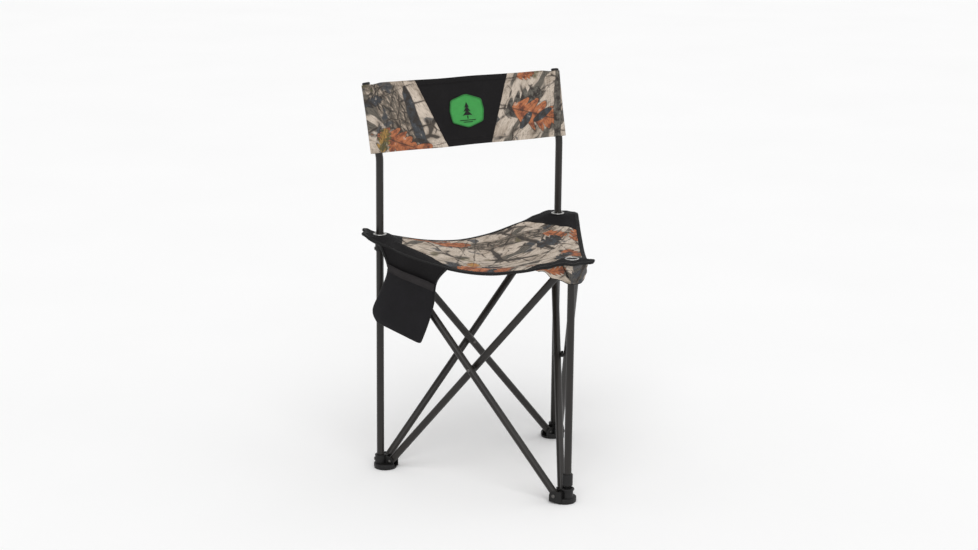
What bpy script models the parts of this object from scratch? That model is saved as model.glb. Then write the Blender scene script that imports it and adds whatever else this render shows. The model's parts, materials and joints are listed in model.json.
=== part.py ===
"""Folding tripod chair: a three leg stool with a sling seat, a backrest band and a side pocket.

Three scissors of crossed tubes join three feet and three hubs. The two rear posts stand in their feet and
run up through sliding hubs to the backrest. The front leg hangs from its hub and plugs into the front foot.
Metres, +Z up, the sitter faces -Y. The origin is the middle of the whole object's box, on the floor.
"""

import math

import bmesh
import bpy
from mathutils import Matrix, Vector

# Frame
LEG_SIDE = 0.454
TUBE_RADIUS = 0.008
TUBE_WALL = 0.0012
TUBE_SIDES = 16
ROUND_SIDES = 20
HOLE_SIDES = 8
GAP = 0.0003
PIVOT_OUT = 0.022
FOOT_PIVOT_Z = 0.0165
HUB_PIVOT_Z = 0.4985
SCISSOR_OFFSET = 0.0108
TUBE_END = 0.0068
CORNER_Z = 0.520
HOLE_HALF = 0.015
PIN_HOLE_LENGTH = 0.020
CUT_REACH = 0.045

# Rear posts
POST_BEND_Z = 0.685
POST_BEND_RADIUS = 0.050
POST_TOP_ALONG = 0.158
POST_BOTTOM = 0.0075
POST_PIN_LENGTH = 0.009
LEAN_BACK = math.radians(14.1)
LEAN_OUT = math.radians(4.1)

# Caps on the posts and on the front leg
CAP_RADIUS = 0.0087
CAP_HEIGHT = 0.0035
LEG_CAP_RADIUS = 0.0082
LEG_CAP_HEIGHT = 0.0047
CAP_ROUND = 0.0025
CAP_DEPTH = 0.010

# Feet
FOOT_RADIUS = 0.025
FOOT_INSET = 0.0105
FOOT_HEIGHT = 0.012
FOOT_TOP_ROUND = 0.002
FOOT_LOW_ROUND = 0.003
FOOT_SIDES = 28
POST_PIN_Z = 0.020
PIN_DRILL_OUT = 0.010
SOCKET_RADIUS = 0.0122
SOCKET_BOTTOM = 0.004
SOCKET_TOP = 0.030
SOCKET_FLOOR = 0.007
LIP_INNER = 0.0102
LIP_CENTRE = 0.0124
LIP_Z = 0.0305
LIP_ROUND = 0.0025
LIP_HEIGHT = 0.0045
EAR_START = 0.004
EAR_BOTTOM = 0.0035
EAR_RADIUS = 0.010
EAR_WALL = 0.0024
SLOT_HALF = TUBE_RADIUS + GAP
SLOT_FLOOR = 0.005
SLOT_BACK = 0.0107

# Hubs
HUB_RADIUS = 0.0102
HUB_BOTTOM = 0.486
HUB_TOP = 0.5175
HUB_CHAMFER = 0.0008
HUB_EAR_START = 0.0088
HUB_EAR_HALF = 0.0025
HUB_EAR_RADIUS = 0.009
HUB_PIN_Z = 0.4905
HUB_PIN_FRONT = 0.0065
HUB_PIN_REAR = 0.0018

# Fasteners
RIVET_RADIUS = 0.0024
HEAD_RADIUS = 0.0042
HEAD_HEIGHT = 0.0020
HEAD_ANGLES = (0.6, 1.1)
RIVET_SIDES = 12
TAIL_RADIUS = 0.0036
TAIL_HEIGHT = 0.0011
TAIL_EDGE = 0.0004
TAIL_INSIDE = 0.0005
SPACER_RADIUS = 0.007
SPACER_EDGE = 0.0006

# Front leg and its plug
LEG_TOP = 0.517
LEG_BOTTOM = 0.050
PLUG_TOP = 0.063
PLUG_BOTTOM = 0.036
PLUG_RADIUS = 0.011
PLUG_EDGE = 0.0008
PLUG_TAPER = 0.003
STEM_EDGE = 0.001
STEM_RADIUS = 0.0065
STEM_BOTTOM = 0.010

# Seat
SEAT_OFFSET = 0.045
SEAT_THICK = 0.0022
SEAT_CENTRE_DROP = 0.060
SEAT_REACH = 0.289
SEAT_REACH_CHANGE = 0.0267
HEM_DROOP = 0.010
TIP_ANGLE = math.radians(59)
TIP_STEPS = 4
HEM_STEPS = 8
SEAT_RINGS = 5
SEAM_INSET = 0.0005
PATCH_LOW = 0.5191
PATCH_RADIUS = 0.0203
PATCH_HOLE = 0.0118
PATCH_THICK = 0.002
PATCH_SIDES = 24
GROMMET_INNER = 0.0108
GROMMET_FLANGE = 0.0152
GROMMET_ROLL = 0.0010
GROMMET_WALL = 0.0007
GUSSET_RINGS = ((0.506, 0.036), (0.496, 0.031), (0.486, 0.024), (0.478, 0.017))
GUSSET_SPREAD = 75
GUSSET_STEPS = 8
GUSSET_THICK = 0.0016

# Backrest
BACK_THICK = 0.002
BACK_BOTTOM = 0.0117
BACK_TOP = 0.1585
SLEEVE_RADIUS = 0.0098
SLEEVE_INNER = 0.0143
SLEEVE_OUTER = 0.0185
SLEEVE_TAPER = 0.006
FLAP_INSET = 0.0005
BORE_LOW = -0.02
BORE_HIGH = 0.3
PANEL_LOW = BACK_BOTTOM + 0.001
PANEL_HIGH = BACK_TOP - 0.003
BLACK_TOP_HALF = 0.113
BLACK_BOTTOM_HALF = 0.051
BADGE_HALF = 0.040
BADGE_LOW = 0.049
BADGE_HIGH = 0.119
BADGE_SHOULDER_HALF = 0.0344
BADGE_SHOULDER = 0.0098
BADGE_THICK = 0.001

# Side pocket: points along the left side from its rear corner, and up from the floor
POCKET_OUT = SEAT_OFFSET + 0.0025
POCKET_TOP_LEFT = (0.030, 0.498)
POCKET_TOP_RIGHT = (0.182, 0.470)
POCKET_WAIST_LEFT = (0.049, 0.455)
POCKET_LOW_LEFT = (0.013, 0.351)
POCKET_LOW_RIGHT = (0.128, 0.309)
POCKET_MOUTH_LEFT = (0.048, 0.468)
POCKET_MOUTH_RIGHT = (0.163, 0.443)
POCKET_HINGE_Z = 0.490
POCKET_ROUND = 0.010
POCKET_THICK = 0.0016
MESH_THICK = 0.0012
MESH_OUT = 0.0020

CORNERS = {"left": 150.0, "right": 30.0, "front": -90.0}
SIDES = {"left_front": ("left", "front"), "left_right": ("left", "right"), "right_front": ("right", "front")}
CENTRE_DISTANCE = LEG_SIDE / math.sqrt(3)
PIVOT_SPAN = LEG_SIDE - 2 * PIVOT_OUT
PIVOT_RISE = HUB_PIVOT_Z - FOOT_PIVOT_Z
TUBE_LENGTH = math.hypot(PIVOT_SPAN, PIVOT_RISE)
UP = Vector((0, 0, 1))
BODY_ORIGINS = {}


def clear_scene():
    for obj in list(bpy.data.objects):
        bpy.data.objects.remove(obj)


def new_collection(name):
    collection = bpy.data.collections.new(name)
    bpy.context.scene.collection.children.link(collection)
    return collection


def new_material(name, colour, metallic, roughness):
    material = bpy.data.materials.new(name)
    material.use_nodes = True
    shader = material.node_tree.nodes["Principled BSDF"]
    shader.inputs["Base Color"].default_value = (*colour, 1)
    shader.inputs["Metallic"].default_value = metallic
    shader.inputs["Roughness"].default_value = roughness
    return material


def flat(angle):
    """The level unit vector at this angle in degrees from +X."""
    return Vector((math.cos(math.radians(angle)), math.sin(math.radians(angle)), 0))


def corner(name):
    """The foot of a leg's axis on the floor."""
    return flat(CORNERS[name]) * CENTRE_DISTANCE


def corner_frame(name):
    """Local +X points from the tripod's centre out through the leg."""
    return Matrix.Translation(corner(name)) @ Matrix.Rotation(math.radians(CORNERS[name]), 4, "Z")


def span(a, b):
    """The level direction from corner a to corner b, and the outward normal of their side."""
    along = (corner(b) - corner(a)).normalized()
    outward = (corner(a) + corner(b)).normalized()
    return along, outward


def basis(x_axis, y_axis, origin):
    """A frame with these two axes and this origin."""
    z_axis = x_axis.cross(y_axis)
    frame = Matrix((x_axis, y_axis, z_axis)).transposed().to_4x4()
    return Matrix.Translation(origin) @ frame


def along_axis(axis, origin):
    """A frame whose local Z runs along the axis."""
    return Matrix.Translation(origin) @ Vector(axis).to_track_quat("Z", "Y").to_matrix().to_4x4()


def finish_object(obj, frame, body, material):
    """Adds a sub-part to a body, at its frame in the world."""
    PARTS.objects.link(obj)
    obj.parent = body
    obj.matrix_basis = Matrix.Translation(-BODY_ORIGINS[body.name]) @ frame
    obj.data.materials.clear()
    obj.data.materials.append(material)


def make_object(name, mesh, frame, body, material, smooth_angle=40):
    """A sub-part from a mesh, shaded smooth except at its sharp edges."""
    obj = bpy.data.objects.new(name, mesh)
    finish_object(obj, frame, body, material)
    mesh.shade_smooth()
    mesh.set_sharp_from_angle(angle=math.radians(smooth_angle))
    return obj


def new_body(name, parent, origin):
    """An empty on the body's joint axis, which its sub-parts are parented to."""
    empty = bpy.data.objects.new("body_" + name, None)
    PARTS.objects.link(empty)
    empty.parent = parent
    BODY_ORIGINS[empty.name] = origin
    empty.location = origin - (BODY_ORIGINS[parent.name] if parent else Vector((0, 0, 0)))
    return empty


def mesh_from(bm, name):
    bmesh.ops.recalc_face_normals(bm, faces=bm.faces)
    mesh = bpy.data.meshes.new(name)
    bm.to_mesh(mesh)
    bm.free()
    return mesh


def cylinder_mesh(name, radius, low, high, sides=TUBE_SIDES, caps=True):
    bm = bmesh.new()
    middle = Matrix.Translation((0, 0, (low + high) / 2))
    bmesh.ops.create_cone(
        bm, cap_ends=caps, segments=sides, radius1=radius, radius2=radius, depth=high - low, matrix=middle
    )
    return mesh_from(bm, name)


def box_mesh(name, low, high):
    bm = bmesh.new()
    size = Vector(high) - Vector(low)
    middle = (Vector(high) + Vector(low)) / 2
    bmesh.ops.create_cube(bm, size=1, matrix=Matrix.Translation(middle) @ Matrix.Diagonal((*size, 1)))
    return mesh_from(bm, name)


def turned(name, profile, frame, body, material, sides=ROUND_SIDES, closed=False):
    """A turned sub-part about its frame's Z, from (radius, height) points that run down the outer side."""
    obj = bpy.data.objects.new(name, profile_mesh(name, profile, closed))
    finish_object(obj, frame, body, material)
    screw(obj, sides)
    return obj


def profile_mesh(name, profile, closed):
    mesh = bpy.data.meshes.new(name)
    edges = [(i, i + 1) for i in range(len(profile) - 1)]
    if closed:
        edges.append((len(profile) - 1, 0))
    mesh.from_pydata([(radius, 0, height) for radius, height in profile], edges, [])
    return mesh


def screw(obj, sides):
    modifier = obj.modifiers.new("Turn", "SCREW")
    modifier.steps = sides
    modifier.render_steps = sides
    modifier.use_merge_vertices = True
    modifier.merge_threshold = 0.00002
    modifier.use_smooth_shade = True


def arc(centre, radius, start, end, steps):
    """Points on an arc in a plane, in degrees."""
    points = []
    for i in range(steps + 1):
        angle = math.radians(start + (end - start) * i / steps)
        points.append((centre[0] + radius * math.cos(angle), centre[1] + radius * math.sin(angle)))
    return points


def make_cutter(name, mesh, frame):
    """A helper shape for the Booleans, which moves with the whole chair."""
    cutter = bpy.data.objects.new(name, mesh)
    CUTTERS.objects.link(cutter)
    cutter.parent = bpy.data.objects["body_left_post"]
    cutter.matrix_basis = frame
    cutter.hide_render = True
    cutter.display_type = "WIRE"
    return cutter


def boolean(obj, operation, others):
    """One exact Boolean with a collection of helper shapes."""
    group = bpy.data.collections.new(obj.name + "_" + operation.lower())
    for other in others:
        group.objects.link(other)
    modifier = obj.modifiers.new(operation.title(), "BOOLEAN")
    modifier.operation = operation
    modifier.operand_type = "COLLECTION"
    modifier.collection = group
    modifier.solver = "EXACT"


def rivet_hole(name, point, axis, low=-HOLE_HALF, high=HOLE_HALF):
    """A helper for one rivet hole, from low to high along its axis."""
    mesh = cylinder_mesh(name, RIVET_RADIUS + GAP, low, high, HOLE_SIDES)
    return make_cutter(name, mesh, along_axis(axis, point))


def drill(obj, places):
    """Rivet holes through the object at (point, axis) places."""
    drills = [rivet_hole(f"{obj.name}_drill_{i}", *place) for i, place in enumerate(places)]
    boolean(obj, "DIFFERENCE", drills)


def path_tube(name, points, radius):
    """The open skin of a tube along the points, as a mesh."""
    curve = bpy.data.curves.new(name, "CURVE")
    curve.dimensions = "3D"
    curve.bevel_depth = radius
    curve.bevel_resolution = TUBE_SIDES // 2 - 2
    spline = curve.splines.new("POLY")
    spline.points.add(len(points) - 1)
    for target, point in zip(spline.points, points):
        target.co = (*point, 1)
    return curve_to_mesh(curve)


def outline_curve(name, corners, thick):
    """A filled flat outline in local X and Y, this thick along local Z."""
    curve = bpy.data.curves.new(name, "CURVE")
    curve.dimensions = "2D"
    curve.fill_mode = "BOTH"
    curve.extrude = thick / 2
    spline = curve.splines.new("POLY")
    spline.points.add(len(corners) - 1)
    for target, (x, y) in zip(spline.points, corners):
        target.co = (x, y, 0, 1)
    spline.use_cyclic_u = True
    return curve


def curve_to_mesh(curve):
    """The curve's closed surface as a mesh, its caps welded."""
    holder = bpy.data.objects.new(curve.name + "_curve", curve)
    PARTS.objects.link(holder)
    graph = bpy.context.evaluated_depsgraph_get()
    mesh = bpy.data.meshes.new_from_object(holder.evaluated_get(graph))
    bpy.data.objects.remove(holder)
    mesh.name = curve.name
    bm = bmesh.new()
    bm.from_mesh(mesh)
    bmesh.ops.remove_doubles(bm, verts=bm.verts, dist=0.00001)
    bm.to_mesh(mesh)
    bm.free()
    return mesh


def hollow(obj, wall, offset=-1):
    modifier = obj.modifiers.new("Wall", "SOLIDIFY")
    modifier.thickness = wall
    modifier.offset = offset
    modifier.use_even_offset = True


# Folding frame


def post_direction(name):
    """The way a rear post's top part leans."""
    side = math.copysign(1, corner(name).x)
    return Vector((side * math.tan(LEAN_OUT), math.tan(LEAN_BACK), 1)).normalized()


def post_points(name, bottom):
    """The axis of a rear post: straight up, a short bend, then leaning back and out."""
    base = corner(name)
    lean = post_direction(name)
    turn = UP.angle(lean)
    sideways = Vector((lean.x, lean.y, 0)).normalized()
    tangent = POST_BEND_RADIUS * math.tan(turn / 2)
    start = base + UP * (POST_BEND_Z - tangent)
    points = [base + UP * bottom]
    steps = 4
    for i in range(steps + 1):
        angle = turn * i / steps
        outward = sideways * POST_BEND_RADIUS * (1 - math.cos(angle))
        points.append(start + outward + UP * POST_BEND_RADIUS * math.sin(angle))
    points.append(base + UP * POST_BEND_Z + lean * POST_TOP_ALONG)
    return points


def cap_profile(radius, height, base):
    """A domed cap with its stem, for the end of a tube. It sits on the tube at the base height."""
    inner = TUBE_RADIUS - TUBE_WALL - GAP
    profile = [(0, base + height)]
    profile += arc((radius - CAP_ROUND, base + height - CAP_ROUND), CAP_ROUND, 80, 0, 2)
    profile += [(radius, base), (inner, base), (inner, base - CAP_DEPTH), (0, base - CAP_DEPTH)]
    return profile


def make_post(name, body):
    mesh = path_tube("rear_post_" + name, post_points(name, POST_BOTTOM), TUBE_RADIUS)
    post = make_object("rear_post_" + name, mesh, Matrix.Identity(4), body, STEEL)
    hollow(post, TUBE_WALL)
    radial = flat(CORNERS[name])
    drill(post, [(corner(name) + radial * PIN_DRILL_OUT + UP * POST_PIN_Z, radial)])
    lean = post_direction(name)
    top = corner(name) + UP * POST_BEND_Z + lean * (POST_TOP_ALONG + GAP)
    cap = cap_profile(CAP_RADIUS, CAP_HEIGHT, 0)
    turned("post_cap_" + name, cap, along_axis(lean, top), body, BLACK_PLASTIC)
    head = corner(name) + radial * (SOCKET_RADIUS + GAP) + UP * POST_PIN_Z
    make_rivet("post_pin_" + name, head, radial, POST_PIN_LENGTH, body)


def foot_sides(name):
    """For a foot: (other corner, along, offset of its tube's axis from the scissor's middle plane)."""
    order = ["left", "right", "front"]
    place = order.index(name)
    clockwise = order[(place + 1) % 3]
    other = order[(place + 2) % 3]
    return [(clockwise, SCISSOR_OFFSET), (other, -SCISSOR_OFFSET)]


def hub_sides(name):
    return [(other, -offset) for other, offset in foot_sides(name)]


def pivot(name, other, offset, height):
    along, outward = span(name, other)
    return corner(name) + along * PIVOT_OUT + outward * offset + UP * height


def side_frame(name, other):
    """Local X runs along the side, local Y points outward from the tripod, local Z points up or down."""
    along, outward = span(name, other)
    return basis(along, outward, corner(name))


def side_box(name, other, label, x_range, y_range, z_range):
    """A box in a side's frame, with heights above the floor."""
    frame = side_frame(name, other)
    sign = math.copysign(1, frame.to_3x3().col[2].z)
    heights = sorted((sign * z_range[0], sign * z_range[1]))
    low = (x_range[0], y_range[0], heights[0])
    high = (x_range[1], y_range[1], heights[1])
    return make_cutter(label, box_mesh(label, low, high), frame)


def make_ear(name, other, label, outline, offset, half):
    """The plate of an ear, from its outline along the side and up, for a Boolean."""
    along, outward = span(name, other)
    mesh = curve_to_mesh(outline_curve(label, outline, 2 * half))
    return make_cutter(label, mesh, basis(along, UP, corner(name) + outward * offset))


def make_foot(name, body):
    """A drum with the leg's socket and one forked ear for each of the foot's two tubes."""
    frame = corner_frame(name)
    profile = [(0, FOOT_HEIGHT)]
    profile += arc((FOOT_RADIUS - FOOT_TOP_ROUND, FOOT_HEIGHT - FOOT_TOP_ROUND), FOOT_TOP_ROUND, 90, 0, 2)
    profile += arc((FOOT_RADIUS - FOOT_LOW_ROUND, FOOT_LOW_ROUND), FOOT_LOW_ROUND, 0, -90, 2)
    profile += [(0, 0)]
    drum_frame = frame @ Matrix.Translation((-FOOT_INSET, 0, 0))
    foot = turned("foot_" + name, profile, drum_frame, body, BLACK_PLASTIC, FOOT_SIDES)
    adds = []
    cuts = []
    holes = []
    socket = cylinder_mesh(f"foot_{name}_socket", SOCKET_RADIUS, SOCKET_BOTTOM, SOCKET_TOP, ROUND_SIDES)
    adds.append(make_cutter(socket.name, socket, frame))
    if name == "front":
        ring = [(LIP_INNER, LIP_Z + LIP_ROUND)]
        ring += arc((LIP_CENTRE, LIP_Z), LIP_ROUND, 80, -80, 4)
        ring += [(LIP_INNER, LIP_Z - LIP_HEIGHT)]
        lip = make_cutter("foot_front_lip", profile_mesh("foot_front_lip", ring, True), frame)
        screw(lip, ROUND_SIDES)
        adds.append(lip)
    for i, (other, offset) in enumerate(foot_sides(name)):
        label = f"foot_{name}_ear_{i}"
        outline = [(EAR_START, EAR_BOTTOM), (PIVOT_OUT + EAR_RADIUS, EAR_BOTTOM)]
        outline += arc((PIVOT_OUT, FOOT_PIVOT_Z), EAR_RADIUS, 0, 90, 5)
        outline += [(EAR_START, FOOT_PIVOT_Z + EAR_RADIUS)]
        adds.append(make_ear(name, other, label, outline, offset, SLOT_HALF + EAR_WALL))
        out = (SLOT_BACK, CUT_REACH)
        across = (offset - SLOT_HALF, offset + SLOT_HALF)
        cuts.append(side_box(name, other, label + "_slot", out, across, (SLOT_FLOOR, CUT_REACH)))
        pin = pivot(name, other, offset, FOOT_PIVOT_Z)
        holes.append(rivet_hole(label + "_hole", pin, span(name, other)[1]))
    bore_radius = STEM_RADIUS + GAP if name == "front" else TUBE_RADIUS + GAP
    bore = cylinder_mesh(f"foot_{name}_bore", bore_radius, SOCKET_FLOOR, CUT_REACH, ROUND_SIDES)
    cuts.append(make_cutter(bore.name, bore, frame))
    if name != "front":
        place = corner(name) + UP * POST_PIN_Z
        holes.append(rivet_hole(f"foot_{name}_pin_hole", place, flat(CORNERS[name]), 0, PIN_HOLE_LENGTH))
    boolean(foot, "UNION", adds)
    boolean(foot, "DIFFERENCE", cuts + holes)


def make_hub(name, body):
    """A collar with one flat ear for each of its two tubes, and a flat top that carries the seat's corner."""
    bore = TUBE_RADIUS + GAP
    rim = HUB_RADIUS - HUB_CHAMFER
    profile = [(bore, HUB_TOP), (rim, HUB_TOP), (HUB_RADIUS, HUB_TOP - HUB_CHAMFER)]
    profile += [(HUB_RADIUS, HUB_BOTTOM + HUB_CHAMFER), (rim, HUB_BOTTOM), (bore, HUB_BOTTOM)]
    frame = corner_frame(name)
    hub = turned("hub_" + name, profile, frame, body, BLACK_PLASTIC, ROUND_SIDES, closed=True)
    adds = []
    cuts = []
    for i, (other, offset) in enumerate(hub_sides(name)):
        label = f"hub_{name}_ear_{i}"
        outline = [(HUB_EAR_START, HUB_PIVOT_Z - HUB_EAR_RADIUS)]
        outline += arc((PIVOT_OUT, HUB_PIVOT_Z), HUB_EAR_RADIUS, -90, 90, 8)
        outline += [(HUB_EAR_START, HUB_PIVOT_Z + HUB_EAR_RADIUS)]
        adds.append(make_ear(name, other, label, outline, 0, HUB_EAR_HALF))
        cuts.append(rivet_hole(label + "_hole", pivot(name, other, 0, HUB_PIVOT_Z), span(name, other)[1]))
    radial = flat(CORNERS[name])
    middle = corner(name) + UP * HUB_PIN_Z
    cuts.append(rivet_hole(f"hub_{name}_pin_hole", middle, radial, 0, PIN_HOLE_LENGTH))
    boolean(hub, "UNION", adds)
    boolean(hub, "DIFFERENCE", cuts)
    reach = HUB_PIN_FRONT if name == "front" else HUB_PIN_REAR
    make_rivet("hub_pin_" + name, middle + radial * (HUB_RADIUS + GAP), radial, reach, body)


def tube_ends(foot, hub):
    """The pivot of a cross tube in its foot and the one on its hub, on the tube's own axis."""
    offset = dict(foot_sides(foot))[hub]
    return pivot(foot, hub, offset, FOOT_PIVOT_Z), pivot(hub, foot, offset, HUB_PIVOT_Z)


def make_cross_tube(name, foot, hub, body):
    low, high = tube_ends(foot, hub)
    direction = (high - low).normalized()
    axis = span(foot, hub)[1]
    mesh = cylinder_mesh(name, TUBE_RADIUS, -TUBE_END, TUBE_LENGTH + TUBE_END, TUBE_SIDES, caps=False)
    tube = make_object(name, mesh, along_axis(direction, low), body, STEEL)
    hollow(tube, TUBE_WALL)
    drill(tube, [(low, axis), ((low + high) / 2, axis), (high, axis)])


def make_rivet(name, head, axis, length, body, tail_head=False):
    """A rivet. Its domed head lies on the point `head` and its shank runs back along the axis."""
    profile = [(0, HEAD_HEIGHT)]
    profile += [(HEAD_RADIUS * math.sin(a), HEAD_HEIGHT * math.cos(a)) for a in HEAD_ANGLES]
    profile += [(HEAD_RADIUS, 0), (RIVET_RADIUS, 0), (RIVET_RADIUS, -length)]
    if tail_head:
        low = -length - TAIL_HEIGHT
        profile += [(TAIL_RADIUS, -length), (TAIL_RADIUS - TAIL_EDGE, low + TAIL_EDGE / 2), (0, low)]
    else:
        profile += [(0, -length)]
    turned(name, profile, along_axis(axis, head), body, RIVET_STEEL, RIVET_SIDES)


def make_side_rivets(foot, hub, tube_name, foot_body, hub_body):
    """The rivets at both ends of one cross tube. Each head is on the outer side."""
    low, high = tube_ends(foot, hub)
    outward = span(foot, hub)[1]
    offset = dict(foot_sides(foot))[hub]
    half = SLOT_HALF + EAR_WALL
    head = low + outward * (half + GAP)
    make_rivet("foot_rivet_" + tube_name, head, outward, 2 * half, foot_body)
    if offset > 0:
        head = high + outward * (TUBE_RADIUS + GAP)
        length = offset + TUBE_RADIUS + GAP + HUB_EAR_HALF
    else:
        head = high + outward * (-offset + HUB_EAR_HALF + GAP)
        length = -offset + HUB_EAR_HALF + GAP + TUBE_RADIUS - TAIL_INSIDE
    make_rivet("hub_rivet_" + tube_name, head, outward, length, hub_body)


def crossing(a, b):
    """The point in a side's middle plane where its two tubes cross."""
    return (corner(a) + corner(b)) / 2 + UP * (FOOT_PIVOT_Z + HUB_PIVOT_Z) / 2


def make_crossing(name, a, b, rivet_body):
    """The spacer and the rivet where the two tubes of a side cross."""
    outward = span(a, b)[1]
    middle = crossing(a, b)
    half = SCISSOR_OFFSET - TUBE_RADIUS - GAP
    bore = RIVET_RADIUS + GAP
    profile = [(bore, half), (SPACER_RADIUS - SPACER_EDGE, half), (SPACER_RADIUS, half - SPACER_EDGE)]
    profile += [(SPACER_RADIUS, SPACER_EDGE - half), (SPACER_RADIUS - SPACER_EDGE, -half), (bore, -half)]
    turned("spacer_" + name, profile, along_axis(outward, middle), rivet_body, BLACK_PLASTIC, closed=True)
    reach = SCISSOR_OFFSET + TUBE_RADIUS + GAP
    make_rivet("crossing_rivet_" + name, middle + outward * reach, outward, 2 * reach, rivet_body, True)


def make_front_leg(body):
    """The short leg that hangs from the front hub, its cap, and its plug in the front foot."""
    frame = corner_frame("front")
    leg_mesh = cylinder_mesh("front_leg", TUBE_RADIUS, LEG_BOTTOM, LEG_TOP, TUBE_SIDES, caps=False)
    leg = make_object("front_leg", leg_mesh, frame, body, STEEL)
    hollow(leg, TUBE_WALL)
    radial = flat(CORNERS["front"])
    drill(leg, [(corner("front") + UP * HUB_PIN_Z + radial * PIN_DRILL_OUT, radial)])
    bore = TUBE_RADIUS + GAP
    profile = [(0, LEG_BOTTOM - GAP), (bore, LEG_BOTTOM - GAP), (bore, PLUG_TOP)]
    profile += [(PLUG_RADIUS - PLUG_EDGE, PLUG_TOP), (PLUG_RADIUS, PLUG_TOP - PLUG_EDGE)]
    profile += [(PLUG_RADIUS, PLUG_BOTTOM + PLUG_TAPER), (PLUG_RADIUS - PLUG_TAPER, PLUG_BOTTOM)]
    profile += [(STEM_RADIUS, PLUG_BOTTOM - STEM_EDGE), (STEM_RADIUS, STEM_BOTTOM + STEM_EDGE)]
    profile += [(STEM_RADIUS - STEM_EDGE, STEM_BOTTOM), (0, STEM_BOTTOM)]
    turned("front_leg_plug", profile, frame, body, BLACK_PLASTIC)
    cap = cap_profile(LEG_CAP_RADIUS, LEG_CAP_HEIGHT, LEG_TOP + GAP)
    turned("front_leg_cap", cap, frame, body, BLACK_PLASTIC)


# Seat


def seat_drop(point):
    """How far the sling hangs under its corners at a point in plan."""
    radius = math.hypot(point.x, point.y)
    angle = math.atan2(point.y, point.x) - math.radians(CORNERS["right"])
    reach = SEAT_REACH - SEAT_REACH_CHANGE * math.cos(3 * angle)
    drop = SEAT_CENTRE_DROP * (1 - (radius / reach) ** 1.5)
    beyond = max(flat(CORNERS[a] + 180).dot(point) for a in CORNERS) - CENTRE_DISTANCE / 2
    if beyond > 0:
        drop += HEM_DROOP * (beyond / SEAT_OFFSET) ** 2
    return max(drop, 0.0)


def seat_outline(a, b):
    """One side's hem in plan, from the tip at corner a, along the side, to the tip at corner b."""
    along, outward = span(a, b)
    points = []
    for i in range(TIP_STEPS + 1):
        angle = TIP_ANGLE * (1 - i / TIP_STEPS)
        points.append(corner(a) + SEAT_OFFSET * (outward * math.cos(angle) - along * math.sin(angle)))
    for i in range(1, HEM_STEPS):
        points.append(corner(a) + outward * SEAT_OFFSET + along * LEG_SIDE * i / HEM_STEPS)
    for i in range(TIP_STEPS + 1):
        angle = TIP_ANGLE * i / TIP_STEPS
        points.append(corner(b) + SEAT_OFFSET * (outward * math.cos(angle) + along * math.sin(angle)))
    return points


def make_seat_panel(name, a, b, body):
    """One third of the sling: from the tripod's centre out to the hem between two corners."""
    outline = seat_outline(a, b)
    centre = span(a, b)[1] * SEAM_INSET / math.sin(math.radians(60))
    bm = bmesh.new()
    rows = []
    for ring in range(1, SEAT_RINGS + 1):
        row = []
        for point in outline:
            place = centre.lerp(point, ring / SEAT_RINGS)
            row.append(bm.verts.new((place.x, place.y, CORNER_Z - seat_drop(place))))
        rows.append(row)
    middle = bm.verts.new((centre.x, centre.y, CORNER_Z - SEAT_CENTRE_DROP))
    for first, second in zip(rows[0], rows[0][1:]):
        bm.faces.new((middle, first, second))
    for inner, outer in zip(rows, rows[1:]):
        for i in range(len(outline) - 1):
            bm.faces.new((inner[i], outer[i], outer[i + 1], inner[i + 1]))
    mesh = mesh_from(bm, name)
    panel = make_object(name, mesh, Matrix.Identity(4), body, CAMO)
    hollow(panel, SEAT_THICK, 0)
    cuts = []
    for end in (a, b):
        low, high = CORNER_Z - CUT_REACH, CORNER_Z + CUT_REACH
        mesh = cylinder_mesh(f"{name}_{end}_hole", PATCH_RADIUS + GAP, low, high, PATCH_SIDES)
        cuts.append(make_cutter(mesh.name, mesh, Matrix.Translation(corner(end))))
    boolean(panel, "DIFFERENCE", cuts)


def make_corner_patch(name, body):
    """The reinforced ring of black webbing round the grommet, and the grommet's own turned ring."""
    frame = corner_frame(name)
    high = PATCH_LOW + PATCH_THICK
    profile = [(PATCH_HOLE, high), (PATCH_RADIUS, high), (PATCH_RADIUS, PATCH_LOW), (PATCH_HOLE, PATCH_LOW)]
    turned("corner_patch_" + name, profile, frame, body, BLACK_FABRIC, PATCH_SIDES, closed=True)
    top = high + GAP
    low = PATCH_LOW - GAP
    barrel = GROMMET_INNER + GROMMET_WALL
    rim = GROMMET_FLANGE - GROMMET_ROLL
    profile = [(GROMMET_INNER, top + GROMMET_WALL), (rim, top + GROMMET_ROLL), (GROMMET_FLANGE, top)]
    profile += [(barrel, top), (barrel, low), (rim, low), (rim, low - GROMMET_WALL)]
    profile += [(GROMMET_INNER, low - GROMMET_WALL)]
    turned("grommet_" + name, profile, frame, body, NICKEL, PATCH_SIDES, closed=True)


def make_front_gusset(body):
    """The pouch of fabric that hangs under the front corner, round the top of the leg."""
    bm = bmesh.new()
    rows = []
    for height, radius in GUSSET_RINGS:
        row = []
        for i in range(GUSSET_STEPS + 1):
            angle = CORNERS["front"] + GUSSET_SPREAD * (2 * i / GUSSET_STEPS - 1)
            place = corner("front") + flat(angle) * radius
            row.append(bm.verts.new((place.x, place.y, height)))
        rows.append(row)
    for upper, lower in zip(rows, rows[1:]):
        for i in range(GUSSET_STEPS):
            bm.faces.new((upper[i], upper[i + 1], lower[i + 1], lower[i]))
    mesh = mesh_from(bm, "front_corner_gusset")
    gusset = make_object("front_corner_gusset", mesh, Matrix.Identity(4), body, CAMO)
    hollow(gusset, GUSSET_THICK, 0)


# Backrest


def back_frame():
    """Local X runs across the backrest, local Y up along the lean, local Z out of its front face."""
    lean = Vector((0, math.sin(LEAN_BACK), math.cos(LEAN_BACK)))
    return basis(Vector((1, 0, 0)), lean, Vector((0, corner("left").y, POST_BEND_Z)))


def post_x(height):
    """Half the distance between the posts' axes at a height along the backrest."""
    return LEG_SIDE / 2 + height * math.tan(LEAN_OUT) * math.cos(LEAN_BACK)


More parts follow.
